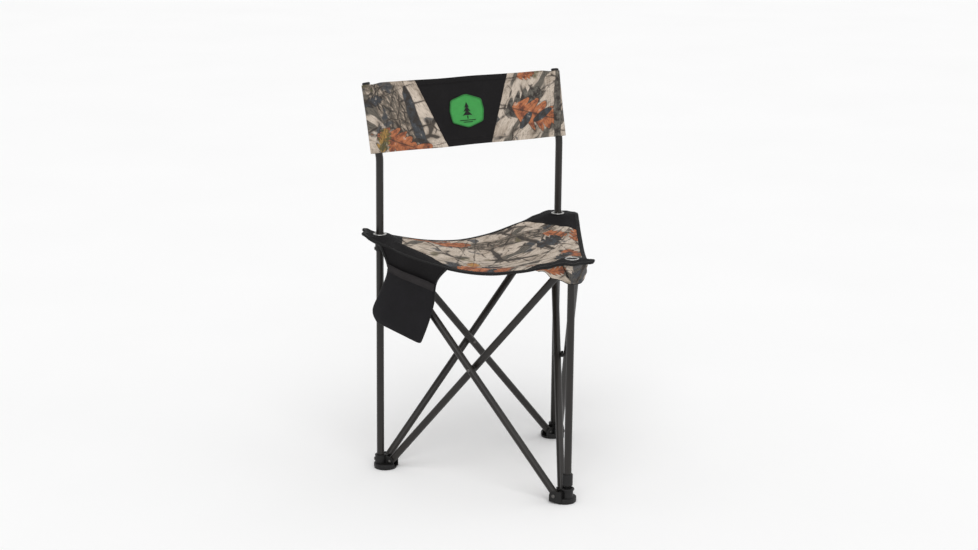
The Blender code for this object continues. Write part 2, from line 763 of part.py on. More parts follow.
def plate(name, corners, thick, frame, body, material):
    """A flat panel from the corners of its outline."""
    curve = outline_curve(name, corners, thick)
    panel = bpy.data.objects.new(name, curve)
    finish_object(panel, frame, body, material)
    weld = panel.modifiers.new("Weld", "WELD")
    weld.merge_threshold = 0.00005


def make_sleeve(name, body):
    """The hem that wraps a post, with its sewn flaps to both sides."""
    lean = post_direction(name)
    across = Vector((1, 0, 0)) * math.copysign(1, corner(name).x)
    foot = corner(name) + UP * POST_BEND_Z
    length = PANEL_HIGH
    mesh = cylinder_mesh("back_sleeve_" + name, SLEEVE_RADIUS, BACK_BOTTOM, length)
    sleeve = make_object("back_sleeve_" + name, mesh, along_axis(lean, foot), body, CAMO)
    normal = across.cross(lean).normalized()
    outward = lean.cross(normal).normalized()
    if outward.dot(across) < 0:
        outward = -outward
    frame = basis(outward, lean, foot)
    bm = bmesh.new()
    bmesh.ops.create_cube(bm, size=1)
    for vert in bm.verts:
        high = vert.co.y > 0
        outer = SLEEVE_OUTER - SLEEVE_TAPER * high
        vert.co.x = outer if vert.co.x > 0 else -SLEEVE_INNER + GAP
        vert.co.y = length - FLAP_INSET if high else BACK_BOTTOM + FLAP_INSET
        vert.co.z *= BACK_THICK
    flap = mesh_from(bm, f"back_sleeve_{name}_flap")
    boolean(sleeve, "UNION", [make_cutter(flap.name, flap, frame)])
    bore = cylinder_mesh(f"back_sleeve_{name}_bore", TUBE_RADIUS + GAP, BORE_LOW, BORE_HIGH)
    boolean(sleeve, "DIFFERENCE", [make_cutter(bore.name, bore, along_axis(lean, foot))])


def make_backrest(body):
    """The band between the posts: a camouflage panel at each side, a black middle, and the badge on it."""
    frame = back_frame()
    seam = GAP / 2
    inner = SLEEVE_INNER + GAP
    for name, side in (("left", -1), ("right", 1)):
        corners = [
            (side * (post_x(PANEL_LOW) - inner), PANEL_LOW),
            (side * (post_x(PANEL_HIGH) - inner), PANEL_HIGH),
            (side * (BLACK_TOP_HALF + seam), PANEL_HIGH),
            (side * (BLACK_BOTTOM_HALF + seam), PANEL_LOW),
        ]
        plate("back_panel_" + name, corners, BACK_THICK, frame, body, CAMO)
    centre = [
        (-BLACK_BOTTOM_HALF + seam, PANEL_LOW),
        (BLACK_BOTTOM_HALF - seam, PANEL_LOW),
        (BLACK_TOP_HALF - seam, PANEL_HIGH),
        (-BLACK_TOP_HALF + seam, PANEL_HIGH),
    ]
    plate("back_panel_centre", centre, BACK_THICK, frame, body, BLACK_FABRIC)
    badge = [
        (0, BADGE_LOW),
        (BADGE_SHOULDER_HALF, BADGE_LOW + BADGE_SHOULDER),
        (BADGE_HALF, (BADGE_LOW + BADGE_HIGH) / 2),
        (BADGE_SHOULDER_HALF, BADGE_HIGH - BADGE_SHOULDER),
        (0, BADGE_HIGH),
        (-BADGE_SHOULDER_HALF, BADGE_HIGH - BADGE_SHOULDER),
        (-BADGE_HALF, (BADGE_LOW + BADGE_HIGH) / 2),
        (-BADGE_SHOULDER_HALF, BADGE_LOW + BADGE_SHOULDER),
    ]
    lifted = frame @ Matrix.Translation((0, 0, (BACK_THICK + BADGE_THICK) / 2 + GAP))
    plate("back_badge", badge, BADGE_THICK, lifted, body, GREEN)


# Side pocket

def round_corner(before, here, after, steps=3):
    """Points that round one corner of an outline, coming from one point and going to another."""
    here = Vector(here)
    back = (Vector(before) - here).normalized() * POCKET_ROUND
    ahead = (Vector(after) - here).normalized() * POCKET_ROUND
    shares = [k / steps for k in range(steps + 1)]
    return [tuple(here + back * (1 - t) ** 2 + ahead * t**2) for t in shares]


def make_pocket(body):
    """The back panel of the hanging pocket and the mesh front sewn over its lower part."""
    along, outward = span("left", "front")
    frame = basis(along, UP, corner("left") + outward * POCKET_OUT)
    side = 1 if frame.to_3x3().col[2].dot(outward) > 0 else -1
    outline = [POCKET_TOP_LEFT, POCKET_WAIST_LEFT]
    outline += round_corner(POCKET_WAIST_LEFT, POCKET_LOW_LEFT, POCKET_LOW_RIGHT)
    outline += round_corner(POCKET_LOW_LEFT, POCKET_LOW_RIGHT, POCKET_TOP_RIGHT)
    outline.append(POCKET_TOP_RIGHT)
    plate("pocket_back", outline, POCKET_THICK, frame, body, BLACK_FABRIC)
    outline = [POCKET_MOUTH_LEFT, POCKET_WAIST_LEFT]
    outline += round_corner(POCKET_WAIST_LEFT, POCKET_LOW_LEFT, POCKET_LOW_RIGHT)
    outline += round_corner(POCKET_LOW_LEFT, POCKET_LOW_RIGHT, POCKET_MOUTH_RIGHT)
    outline.append(POCKET_MOUTH_RIGHT)
    lifted = frame @ Matrix.Translation((0, 0, side * MESH_OUT))
    plate("pocket_mesh", outline, MESH_THICK, lifted, body, BLACK_MESH)


def make_bodies():
    """The tree of moving bodies, each on the hinge that joins it to its parent."""
    bodies = {}

    def add(name, parent, origin):
        bodies[name] = new_body(name, bodies.get(parent), origin)

    def foot_pivot(foot, hub):
        return tube_ends(foot, hub)[0]

    def hub_pivot(foot, hub):
        return tube_ends(foot, hub)[1]

    add("left_post", None, Vector((0, 0, 0)))
    add("tube_left_front", "left_post", foot_pivot("left", "front"))
    add("tube_front_left", "tube_left_front", crossing("left", "front"))
    add("front_foot", "tube_front_left", foot_pivot("front", "left"))
    add("left_hub", "tube_front_left", hub_pivot("front", "left"))
    add("front_leg", "tube_left_front", hub_pivot("left", "front"))
    add("tube_left_right", "left_post", foot_pivot("left", "right"))
    add("tube_right_left", "tube_left_right", crossing("left", "right"))
    add("right_post", "tube_right_left", foot_pivot("right", "left"))
    add("right_hub", "tube_left_right", hub_pivot("left", "right"))
    add("tube_right_front", "right_post", foot_pivot("right", "front"))
    add("tube_front_right", "front_foot", foot_pivot("front", "right"))
    add("seat_left", "left_hub", corner("left") + UP * CORNER_Z)
    add("seat_rear", "left_hub", corner("left") + UP * CORNER_Z)
    add("seat_right", "front_leg", corner("front") + UP * CORNER_Z)
    hem = corner("left") + span("left", "front")[1] * SEAT_OFFSET
    add("pocket", "seat_left", hem + UP * POCKET_HINGE_Z)
    return bodies


def centre_on_origin(root):
    """Moves the chair so that the middle of its box is over the origin."""
    bpy.context.view_layer.update()
    graph = bpy.context.evaluated_depsgraph_get()
    across = []
    for obj in PARTS.objects:
        if obj.type != "EMPTY":
            seen = obj.evaluated_get(graph)
            across += [(seen.matrix_world @ vert.co).y for vert in seen.to_mesh().vertices]
            seen.to_mesh_clear()
    root.location.y -= (min(across) + max(across)) / 2


def main():
    bodies = make_bodies()
    foot_bodies = {"left": bodies["left_post"], "right": bodies["right_post"], "front": bodies["front_foot"]}
    hub_bodies = {"left": bodies["left_hub"], "right": bodies["right_hub"], "front": bodies["front_leg"]}
    for name in CORNERS:
        make_foot(name, foot_bodies[name])
        make_hub(name, hub_bodies[name])
        make_corner_patch(name, hub_bodies[name])
    for name in ("left", "right"):
        make_post(name, foot_bodies[name])
        make_sleeve(name, foot_bodies[name])
    make_front_leg(bodies["front_leg"])
    for side, (a, b) in SIDES.items():
        for foot, hub in ((a, b), (b, a)):
            tube = f"{foot}_{hub}"
            make_cross_tube("cross_tube_" + tube, foot, hub, bodies["tube_" + tube])
            make_side_rivets(foot, hub, tube, foot_bodies[foot], hub_bodies[hub])
        make_crossing(side, a, b, bodies["tube_" + side])
    make_seat_panel("seat_panel_rear", "left", "right", bodies["seat_rear"])
    make_seat_panel("seat_panel_left", "left", "front", bodies["seat_left"])
    make_seat_panel("seat_panel_right", "right", "front", bodies["seat_right"])
    make_front_gusset(bodies["front_leg"])
    make_backrest(bodies["left_post"])
    make_pocket(bodies["pocket"])
    centre_on_origin(bodies["left_post"])


clear_scene()
PARTS = new_collection("tripod_chair")
CUTTERS = new_collection("cutters")
CUTTERS.hide_render = True

STEEL = new_material("dark_powder_coat", (0.045, 0.040, 0.036), 0.2, 0.38)
BLACK_PLASTIC = new_material("black_plastic", (0.020, 0.019, 0.019), 0.0, 0.45)
RIVET_STEEL = new_material("rivet_steel", (0.30, 0.29, 0.28), 0.9, 0.35)
NICKEL = new_material("nickel", (0.70, 0.69, 0.66), 1.0, 0.25)
CAMO = new_material("camouflage_cloth", (0.36, 0.31, 0.25), 0.0, 0.85)
BLACK_FABRIC = new_material("black_cloth", (0.022, 0.020, 0.021), 0.0, 0.80)
BLACK_MESH = new_material("black_mesh", (0.018, 0.017, 0.020), 0.0, 0.75)
GREEN = new_material("green_badge", (0.10, 0.50, 0.12), 0.0, 0.55)

main()
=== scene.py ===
"""The looks of the folding tripod chair: printed camouflage cloth, black bindings, powder coat and plastic.

Everything is in metres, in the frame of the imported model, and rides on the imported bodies.
"""

import json
import math
from contextlib import contextmanager

import bmesh
import bpy
import numpy as np
from mathutils import Matrix, Vector, noise


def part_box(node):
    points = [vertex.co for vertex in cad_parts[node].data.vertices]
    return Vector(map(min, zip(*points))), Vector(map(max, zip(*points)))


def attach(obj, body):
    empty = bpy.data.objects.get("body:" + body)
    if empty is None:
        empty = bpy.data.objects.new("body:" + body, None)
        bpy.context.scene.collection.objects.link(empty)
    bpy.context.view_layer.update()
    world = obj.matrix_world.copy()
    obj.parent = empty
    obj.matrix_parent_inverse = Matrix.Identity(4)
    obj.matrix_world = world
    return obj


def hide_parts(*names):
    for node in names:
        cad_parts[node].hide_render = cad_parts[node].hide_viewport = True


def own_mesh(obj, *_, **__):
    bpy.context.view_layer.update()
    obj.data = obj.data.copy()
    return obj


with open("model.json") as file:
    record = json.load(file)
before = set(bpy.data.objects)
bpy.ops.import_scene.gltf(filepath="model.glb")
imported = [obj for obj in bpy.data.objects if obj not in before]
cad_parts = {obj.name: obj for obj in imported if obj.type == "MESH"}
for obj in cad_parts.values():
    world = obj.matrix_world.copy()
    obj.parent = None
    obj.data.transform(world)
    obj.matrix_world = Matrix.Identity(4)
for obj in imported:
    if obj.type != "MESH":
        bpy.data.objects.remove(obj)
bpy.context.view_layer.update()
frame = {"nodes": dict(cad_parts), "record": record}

UP = Vector((0, 0, 1))
NAMES = ("left", "right", "front")


def middle(node):
    low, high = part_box(node)
    return (low + high) / 2


# Frame: the three corners of the seat, where the legs' axes are
CORNERS = {name: Vector((middle("grommet_" + name).x, middle("grommet_" + name).y, 0)) for name in NAMES}
TRIPOD = sum(CORNERS.values(), Vector()) / 3
LEG_SIDE = (CORNERS["left"] - CORNERS["right"]).length
CORNER_Z = 0.520
SIDES = {"rear": ("left", "right"), "left": ("left", "front"), "right": ("right", "front")}

# Fold: what is left of a side when the chair is folded, and how the cloth gathers along it
FOLDED_SIDE = 0.1034
CLEAR_OF_POST = 0.0075
SEAT_KEEP = (FOLDED_SIDE - 0.020) / (LEG_SIDE - 0.040)

# Seat
SEAT_OFFSET = 0.045
CENTRE_DROP = 0.060
REACH = 0.289
REACH_CHANGE = 0.0267
HEM_DROOP = 0.010
TIP_CURL = {"left": 0.009, "right": -0.003, "front": -0.003}
TIP_OFFSET = {"left": 0.031, "right": 0.045, "front": 0.034}
CLOTH = 0.0011
HALF_CLOTH = CLOTH / 2
HOLE_RADIUS = 0.0140
PATCH_REACH = {"left": 0.047, "right": 0.047, "front": 0.056}
BINDING_WIDTH = 0.0085
BINDING_THICK = 0.0012

# Backrest
LEAN_BACK = math.radians(14.1)
LEAN_OUT = math.radians(4.1)
BEND_Z = 0.685
BACK_BOTTOM = 0.0112
BACK_TOP = 0.1590
SLEEVE_HALF = 0.022
CAP_SHOWS = 0.0035
POST_CLEAR = 0.014

# Badge: the height of its middle along the band, and how far off the band's cloth it starts
BADGE_S = 0.0845
BADGE_BASE = 0.0017

# Stitches
STITCH_PITCH = 0.0044
STITCH_LENGTH = 0.0030
THREAD_RADIUS = 0.00034


# Node helpers


class Value:
    """An output of a material's nodes, which takes part in sums."""

    def __init__(self, shader, socket):
        self.shader, self.socket = shader, socket

    def __add__(self, other):
        return self.shader.math("ADD", self, other)

    def __sub__(self, other):
        return self.shader.math("SUBTRACT", self, other)

    def __rsub__(self, other):
        return self.shader.math("SUBTRACT", other, self)

    def __mul__(self, other):
        return self.shader.math("MULTIPLY", self, other)


class Shader:
    """Writes one material's nodes. Each method takes numbers, colours or values and gives a value."""

    def __init__(self, name):
        self.material = bpy.data.materials.new(name)
        self.material.use_nodes = True
        self.tree = self.material.node_tree
        self.surface = self.tree.nodes["Principled BSDF"]

    def put(self, socket, value):
        if isinstance(value, Value):
            self.tree.links.new(value.socket, socket)
        elif value is not None:
            if socket.type == "RGBA" and len(value) == 3:
                value = (*value, 1)
            socket.default_value = value

    def node(self, kind, inputs=(), **settings):
        node = self.tree.nodes.new("ShaderNode" + kind)
        for key, value in settings.items():
            setattr(node, key, value)
        for key, value in dict(inputs).items():
            self.put(node.inputs[key], value)
        return node

    def value(self, kind, inputs=(), output=0, **settings):
        return Value(self, self.node(kind, inputs, **settings).outputs[output])

    def math(self, operation, a, b=0.0):
        return self.value("Math", {0: a, 1: b}, operation=operation)

    def vector(self, operation, a, b):
        return self.value("VectorMath", {0: a, 1: b}, operation=operation)

    def scaled(self, a, factors, offset=(0, 0, 0)):
        return self.vector("ADD", self.vector("MULTIPLY", a, factors), offset)

    def rotated(self, a, angle):
        return self.value("VectorRotate", {"Vector": a, "Angle": angle}, rotation_type="Z_AXIS")

    def parts(self, a):
        return [Value(self, socket) for socket in self.node("SeparateXYZ", {0: a}).outputs]

    def noise(self, where, scale, detail=3.0, rough=0.5, distort=0.0, output="Fac"):
        inputs = {"Vector": where, "Scale": scale, "Detail": detail}
        inputs.update(Roughness=rough, Distortion=distort)
        return self.value("TexNoise", inputs, output)

    def cells(self, where, scale, feature="F1", randomness=1.0):
        inputs = {"Vector": where, "Scale": scale, "Randomness": randomness}
        node = self.node("TexVoronoi", inputs, feature=feature, voronoi_dimensions="2D")
        return {socket.name: Value(self, socket) for socket in node.outputs}

    def step(self, value, low, high):
        """0 below low, 1 above high, smooth between. Works downwards too."""
        inputs = {"Value": value, "From Min": low, "From Max": high}
        return self.value("MapRange", inputs, interpolation_type="SMOOTHSTEP")

    def spread(self, value, low, high):
        """Low to high as the value goes from 0 to 1."""
        return self.value("MapRange", {"Value": value, "To Min": low, "To Max": high})

    def ramp(self, value, stops):
        node = self.node("ValToRGB", {0: value})
        elements = node.color_ramp.elements
        while len(elements) < len(stops):
            elements.new(1.0)
        for element, (place, colour) in zip(elements, stops):
            element.position = place
            element.color = (*colour, 1)
        return Value(self, node.outputs[0])

    def mix(self, share, a, b):
        return self.value("Mix", {0: share, 6: a, 7: b}, 2, data_type="RGBA")

    def uv(self):
        return self.value("UVMap", uv_map="cloth")

    def place(self):
        return self.value("TexCoord", output="Object")

    def bump(self, height, distance, strength, under=None):
        inputs = {"Height": height, "Distance": distance, "Strength": strength, "Normal": under}
        return self.value("Bump", inputs)

    def finish(self, colour, rough, normal, **constants):
        self.put(self.surface.inputs["Base Color"], colour)
        self.put(self.surface.inputs["Roughness"], rough)
        self.put(self.surface.inputs["Normal"], normal)
        for key, value in constants.items():
            self.put(self.surface.inputs[key.replace("_", " ")], value)
        return self.material


def times(tint, factor):
    return tuple(factor * c for c in tint)


def weave(shader, where, pitch):
    """The height of a plain weave with this distance between threads."""
    x, y, _ = shader.parts(shader.scaled(where, (math.pi / pitch,) * 3))
    return shader.math("SINE", x) * shader.math("COSINE", y) * 0.5 + 0.5


# Camouflage print

BEIGE = (0.47, 0.39, 0.315)
PALE = (0.64, 0.55, 0.46)
TAUPE = (0.132, 0.102, 0.076)
GREY = (0.112, 0.104, 0.088)
SLATE = (0.033, 0.043, 0.055)
DARK = (0.012, 0.010, 0.010)
ORANGE = (0.46, 0.150, 0.056)
RUST = (0.20, 0.052, 0.022)
YELLOW = (0.42, 0.235, 0.055)
OLIVE = (0.090, 0.080, 0.026)
RUBBED = (0.07, 0.066, 0.062)

# Waves along a leaf's edge
LOBES = 2.5
PLAIN_BLADE = 0.2


def leaf_shape(shader, local, length, width, lobes):
    """How far inside a lobed leaf a point is, and its veins. The leaf lies along local X."""
    x, y, _ = shader.parts(shader.scaled(local, (2 / length, 2 / width, 0)))
    across = shader.math("ABSOLUTE", y)
    slanted = (x - across * 0.45) * (math.pi * lobes)
    body = shader.math("SQRT", shader.math("MAXIMUM", 1.0 - x * x, 0.0))
    wave = shader.math("ABSOLUTE", shader.math("COSINE", slanted))
    wave = shader.math("POWER", wave, 0.7) * 0.62 + 0.38
    rib = shader.step(across, 0.07, 0.02)
    veins = shader.step(shader.math("ABSOLUTE", shader.math("SINE", slanted)), 0.16, 0.05)
    return body * wave - across, shader.math("MAXIMUM", rib, veins * 0.7)


def paint_leaf(shader, under, inside, veins, keep, light, dark, grain):
    """Lays one leaf colour over the print: a dark edge, then a mottled body with veins."""
    ragged = inside + (grain - 0.5) * 0.55
    shadow = shader.step(ragged, -0.14, 0.03) * keep
    colour = shader.mix(shadow * 0.8, under, DARK)
    fill = shader.mix(shader.step(grain, 0.40, 0.56), dark, light)
    fill = shader.mix(shader.step(grain, 0.60, 0.70) * 0.45, fill, PALE)
    fill = shader.mix(shader.step(grain, 0.42, 0.32) * 0.55, fill, DARK)
    fill = shader.mix(veins * 0.65, fill, DARK)
    return shader.mix(shader.step(ragged, 0.01, 0.07) * keep, colour, fill)


def scattered_leaves(shader, where, under, scale, length, width, least, light, dark, seed):
    """Leaves at random places and angles, one in each cell whose own value is over `least`."""
    moved = shader.vector("ADD", where, seed)
    cell = shader.cells(moved, scale, randomness=0.75)
    local = shader.vector("SUBTRACT", moved, cell["Position"])
    value = shader.parts(cell["Color"])
    local = shader.rotated(local, value[0] * (2 * math.pi))
    inside, veins = leaf_shape(shader, local, length, width, LOBES)
    keep = shader.math("GREATER_THAN", value[1], least)
    return paint_leaf(shader, under, inside, veins, keep, light, dark, shader.noise(where, 120, 4, 0.6))


def bark_band(shader, warped, colour, start, end, half):
    """A fallen trunk: a long band of dark furrowed bark between two places on the cloth."""
    middle = (Vector(start) + Vector(end)) / 2
    way = Vector(end) - Vector(start)
    local = shader.vector("SUBTRACT", warped, (middle.x, middle.y, 0))
    local = shader.rotated(local, -math.atan2(way.y, way.x))
    x, y, _ = shader.parts(local)
    beyond = shader.math("MAXIMUM", shader.math("ABSOLUTE", x) - way.length / 2, 0.0)
    away = shader.math("ABSOLUTE", y) + beyond
    furrows = shader.noise(shader.scaled(local, (1.0, 3.2, 1.0)), 58, 6, 0.72)
    bark = shader.ramp(furrows, [(0.36, DARK), (0.44, GREY), (0.50, TAUPE), (0.60, BEIGE)])
    cracks = shader.cells(shader.scaled(local, (1.0, 2.4, 1.0)), 34, "DISTANCE_TO_EDGE")["Distance"]
    crack = shader.step(cracks, 0.13, 0.03) * shader.step(shader.noise(local, 40, 2), 0.40, 0.52)
    return shader.mix(shader.step(away, half, half * 0.75), colour, shader.mix(crack * 0.9, bark, DARK))


def bark_ground(shader, turned, stretch):
    """Pale bark with fine dark grain, and grey trunks across it. Also gives the fine grain."""
    bark = shader.noise(shader.scaled(turned, (1.0, stretch, 1.0)), 15, 6, 0.62)
    colour = shader.ramp(bark, [(0.30, TAUPE), (0.43, BEIGE), (0.56, PALE), (0.72, BEIGE)])
    fine = shader.noise(shader.scaled(turned, (1.0, 5.0, 1.0)), 95, 5, 0.7)
    colour = shader.mix(shader.step(fine, 0.52, 0.36) * 0.60, colour, TAUPE)
    trunk = shader.noise(shader.scaled(turned, (0.55, 2.2, 1.0)), 13, 2, 0.4)
    grain = shader.noise(shader.scaled(turned, (1.0, 7.0, 1.0)), 60, 5, 0.75)
    trunk_colour = shader.ramp(grain, [(0.36, DARK), (0.50, GREY), (0.66, TAUPE)])
    return shader.mix(shader.step(trunk, 0.575, 0.61), colour, trunk_colour), fine


def twigs(shader, warped, colour, scale, width):
    """Dark twigs along the edges of cells, broken here and there, each with a soft brown halo."""
    edges = shader.cells(warped, scale, "DISTANCE_TO_EDGE")["Distance"]
    broken = shader.noise(warped, scale * 1.4, 2)
    gap = edges - shader.step(broken, 0.44, 0.66) * width
    seen = shader.step(broken, 0.46, 0.54)
    colour = shader.mix(shader.step(gap, 0.075, -0.01) * seen * 0.55, colour, TAUPE)
    return shader.mix(shader.step(gap, 0.018, -0.012) * seen * 0.88, colour, DARK)


def camouflage(name, shift, heroes=(), bands=(), grain_angle=0.35, leaves=(0.80, 0.86), shade=0.585):
    """The print: pale bark, grey trunks, slate shade, dark twigs and autumn leaves.

    Heroes are chosen leaves and bands are chosen trunks, both placed in the cloth's own coordinates; on the
    right band one long dark hero is no leaf but painted shade of the sleeve's far side.
    """
    shader = Shader(name)
    sheet = shader.uv()
    where = shader.vector("ADD", sheet, shift)
    warp = shader.noise(where, 14, 2, output="Color")
    warp = shader.scaled(warp, (0.034, 0.034, 0), (-0.017, -0.017, 0))
    warped = shader.vector("ADD", where, warp)
    colour, fine = bark_ground(shader, shader.rotated(warped, grain_angle), 3.0)
    for start, end, half in bands:
        bent = shader.vector("ADD", sheet, shader.scaled(warp, (0.5, 0.5, 0)))
        colour = bark_band(shader, bent, colour, start, end, half)

    slate = shader.noise(shader.vector("ADD", warped, (3.1, 1.7, 0)), 17, 3, 0.55)
    colour = shader.mix(shader.step(slate, shade, shade + 0.05) * 0.9, colour, SLATE)
    moss = shader.noise(shader.vector("ADD", warped, (7.7, 4.2, 0)), 15)
    colour = shader.mix(shader.step(moss, 0.62, 0.70) * 0.8, colour, OLIVE)
    for scale, width in ((9, 0.060), (19, 0.030)):
        colour = twigs(shader, warped, colour, scale, width)

    large = (13, 0.070, 0.038, leaves[0], ORANGE, RUST, (1.3, 8.8, 0))
    small = (17, 0.048, 0.024, leaves[1], YELLOW, ORANGE, (5.1, 2.9, 0))
    for kind in (large, small):
        colour = scattered_leaves(shader, warped, colour, *kind)
    patches = shader.noise(where, 60, 4, 0.6)
    for x, y, angle, length, width, (light, dark) in heroes:
        local = shader.vector("SUBTRACT", sheet, (x, y, 0))
        bent = shader.vector("ADD", local, shader.scaled(warp, (0.30, 0.30, 0)))
        lobes = LOBES if width > 0.4 * length else PLAIN_BLADE
        inside, veins = leaf_shape(shader, shader.rotated(bent, -angle), length, width, lobes)
        colour = paint_leaf(shader, colour, inside, veins, 1.0, light, dark, patches)

    faded = shader.noise(where, 7, 2)
    colour = shader.mix(shader.step(faded, 0.3, 0.8), shader.mix(0.14, colour, DARK), colour)
    threads = weave(shader, sheet, 0.0006)
    colour = shader.mix(threads * 0.08, colour, PALE)
    normal = shader.bump(shader.noise(sheet, 26, 3, 0.55, 0.6), 0.0016, 0.55)
    normal = shader.bump(threads, 0.00012, 0.7, normal)
    return shader.finish(colour, shader.spread(fine, 0.72, 0.90), normal, Specular_IOR_Level=0.25)


# Plain cloths, coats and metals


def black_cloth(name, tint, pitch=0.0007):
    """Woven black polyester, a little dusty along its creases."""
    shader = Shader(name)
    where = shader.uv()
    colour = shader.mix(shader.step(shader.noise(where, 30, 5, 0.65), 0.42, 0.75), tint, times(tint, 1.7))
    threads = weave(shader, where, pitch)
    colour = shader.mix(threads * 0.35, colour, times(tint, 2.2))
    normal = shader.bump(shader.noise(where, 34, 3, 0.5, 0.5), 0.0014, 0.5)
    normal = shader.bump(threads, 0.00018, 0.8, normal)
    rough = shader.spread(shader.noise(where, 210, 3, 0.6), 0.62, 0.88)
    return shader.finish(colour, rough, normal, Specular_IOR_Level=0.2)


def ribbed_tape(name, tint, rib=0.0011, gloss=0.55):
    """Grosgrain tape: ribs across its length, which runs along the first cloth coordinate."""
    shader = Shader(name)
    where = shader.uv()
    ribs = shader.math("SINE", shader.parts(where)[0] * (2 * math.pi / rib)) * 0.5 + 0.5
    worn = shader.noise(where, 60, 4, 0.6)
    colour = shader.mix(shader.step(worn, 0.35, 0.8), tint, times(tint, 1.9))
    colour = shader.mix(ribs * 0.3, colour, times(tint, 2.4))
    normal = shader.bump(ribs, 0.00022, 0.7, shader.bump(worn, 0.0006, 0.4))
    rough = shader.spread(worn, gloss - 0.1, gloss + 0.15)
    return shader.finish(colour, rough, normal, Specular_IOR_Level=0.25)


def net_cloth(name, tint, hole=0.0016):
    """Fine net: a grid of small round holes that show darker cloth behind."""
    shader = Shader(name)
    where = shader.rotated(shader.uv(), 0.35)
    x, y, _ = shader.parts(shader.scaled(where, (2 * math.pi / hole,) * 3))
    grid = shader.math("ABSOLUTE", shader.math("SINE", x) * shader.math("SINE", y))
    holes = shader.step(grid, 0.25, 0.60)
    folds = shader.noise(shader.uv(), 22, 4, 0.55, 0.8)
    colour = shader.mix(shader.step(folds, 0.35, 0.8), tint, times(tint, 2.0))
    colour = shader.mix(holes * 0.75, colour, times(tint, 0.25))
    normal = shader.bump(1.0 - holes, 0.0003, 0.8, shader.bump(folds, 0.0022, 0.6))
    return shader.finish(colour, shader.spread(folds, 0.55, 0.8), normal, Specular_IOR_Level=0.22)


def powder_coat(name, tint):
    """Satin powder coat with its orange peel, dust and a few rubbed places."""
    shader = Shader(name)
    where = shader.place()
    dust = shader.noise(where, 22, 5, 0.6)
    rubbed = shader.noise(shader.scaled(where, (1, 1, 0.25)), 70, 6, 0.75)
    colour = shader.mix(shader.step(dust, 0.35, 0.75), tint, times(tint, 1.5))
    colour = shader.mix(shader.step(rubbed, 0.66, 0.74) * 0.30, colour, RUBBED)
    normal = shader.bump(shader.noise(where, 900, 2), 0.00010, 0.5, shader.bump(rubbed, 0.00008, 0.4))
    return shader.finish(colour, shader.spread(dust, 0.26, 0.46), normal, Specular_IOR_Level=0.42)


def moulded_plastic(name, tint):
    """Fine-textured injection moulded plastic with scuffs."""
    shader = Shader(name)
    where = shader.place()
    scuffs = shader.noise(shader.scaled(where, (1, 1, 2)), 130, 6, 0.75)
    colour = shader.mix(shader.step(scuffs, 0.55, 0.72), tint, times(tint, 2.6))
    normal = shader.bump(shader.noise(where, 1400, 2), 0.00012, 0.6, shader.bump(scuffs, 0.00012, 0.5))
    return shader.finish(colour, shader.spread(scuffs, 0.38, 0.62), normal, Specular_IOR_Level=0.35)


def bare_metal(name, tint, rough_low, rough_high):
    """Plated or bare metal with fine scratches and dull spots."""
    shader = Shader(name)
    where = shader.place()
    scratches = shader.noise(shader.scaled(where, (1, 6, 1)), 700, 4, 0.7)
    dull = shader.noise(where, 160, 5, 0.65)
    colour = shader.mix(shader.step(dull, 0.52, 0.72), tint, times(tint, 0.6))
    return shader.finish(
        colour, shader.spread(dull, rough_low, rough_high), shader.bump(scratches, 0.00005, 0.5), Metallic=1.0
    )


def embroidery(name, tint, angle):
    """Satin stitch: fine shiny threads that lie side by side."""
    shader = Shader(name)
    where = shader.rotated(shader.uv(), angle)
    wobble = shader.noise(where, 240, 2) * 1.4
    threads = shader.math("SINE", shader.parts(where)[1] * (2 * math.pi / 0.0007) + wobble) * 0.5 + 0.5
    patches = shader.noise(shader.uv(), 90)
    dark = times(tint, 0.62)
    colour = shader.mix(shader.step(patches, 0.3, 0.7), dark, tint)
    colour = shader.mix(threads * 0.35, dark, colour)
    normal = shader.bump(threads, 0.00025, 0.7)
    return shader.finish(colour, shader.spread(patches, 0.42, 0.6), normal, Specular_IOR_Level=0.3)


# Mesh helpers


def slot_of(material):
    """The material slot of the record that a material belongs to."""
    return next(slot for slot, materials in LOOKS.items() if material in materials)


def new_piece(name, verts, faces, uvs, material, body, smooth=60):
    """A piece from points, faces and one cloth coordinate for each point, riding on a body."""
    mesh = bpy.data.meshes.new(name)
    mesh.from_pydata([tuple(v) for v in verts], [], faces)
    layer = mesh.uv_layers.new(name="cloth")
    layer.data.foreach_set("uv", [c for loop in mesh.loops for c in uvs[loop.vertex_index]])
    mesh.materials.append(material)
    obj = bpy.data.objects.new(name, mesh)
    bpy.context.scene.collection.objects.link(obj)
    mesh.shade_smooth()
    mesh.set_sharp_from_angle(angle=math.radians(smooth))
    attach(obj, body)
    slot_of(material)
    return obj


@contextmanager
def editing(obj):
    """Opens an object's mesh for bmesh, and writes it back."""
    bm = bmesh.new()
    bm.from_mesh(obj.data)
    yield bm
    bm.to_mesh(obj.data)
    bm.free()


def outward(obj, weld=0.0):
    """Turns all faces outward, after joining points that are closer than weld."""
    with editing(obj) as bm:
        if weld:
            bmesh.ops.remove_doubles(bm, verts=bm.verts, dist=weld)
        bmesh.ops.recalc_face_normals(bm, faces=bm.faces)
    return obj


def thicken(obj, thick, offset=0.0):
    """Gives an open sheet its thickness."""
    modifier = obj.modifiers.new("Thickness", "SOLIDIFY")
    modifier.thickness = thick
    modifier.offset = offset
    graph = bpy.context.evaluated_depsgraph_get()
    made = bpy.data.meshes.new_from_object(obj.evaluated_get(graph))
    made.name = obj.data.name
    obj.modifiers.clear()
    obj.data = made
    made.set_sharp_from_angle(angle=math.radians(50))
    return obj


def grid_faces(rows, columns, wrap=False):
    faces = []
    across = columns if wrap else columns - 1
    for j in range(rows - 1):
        for i in range(across):
            k = (i + 1) % columns
            faces.append((j * columns + i, j * columns + k, (j + 1) * columns + k, (j + 1) * columns + i))
    return faces


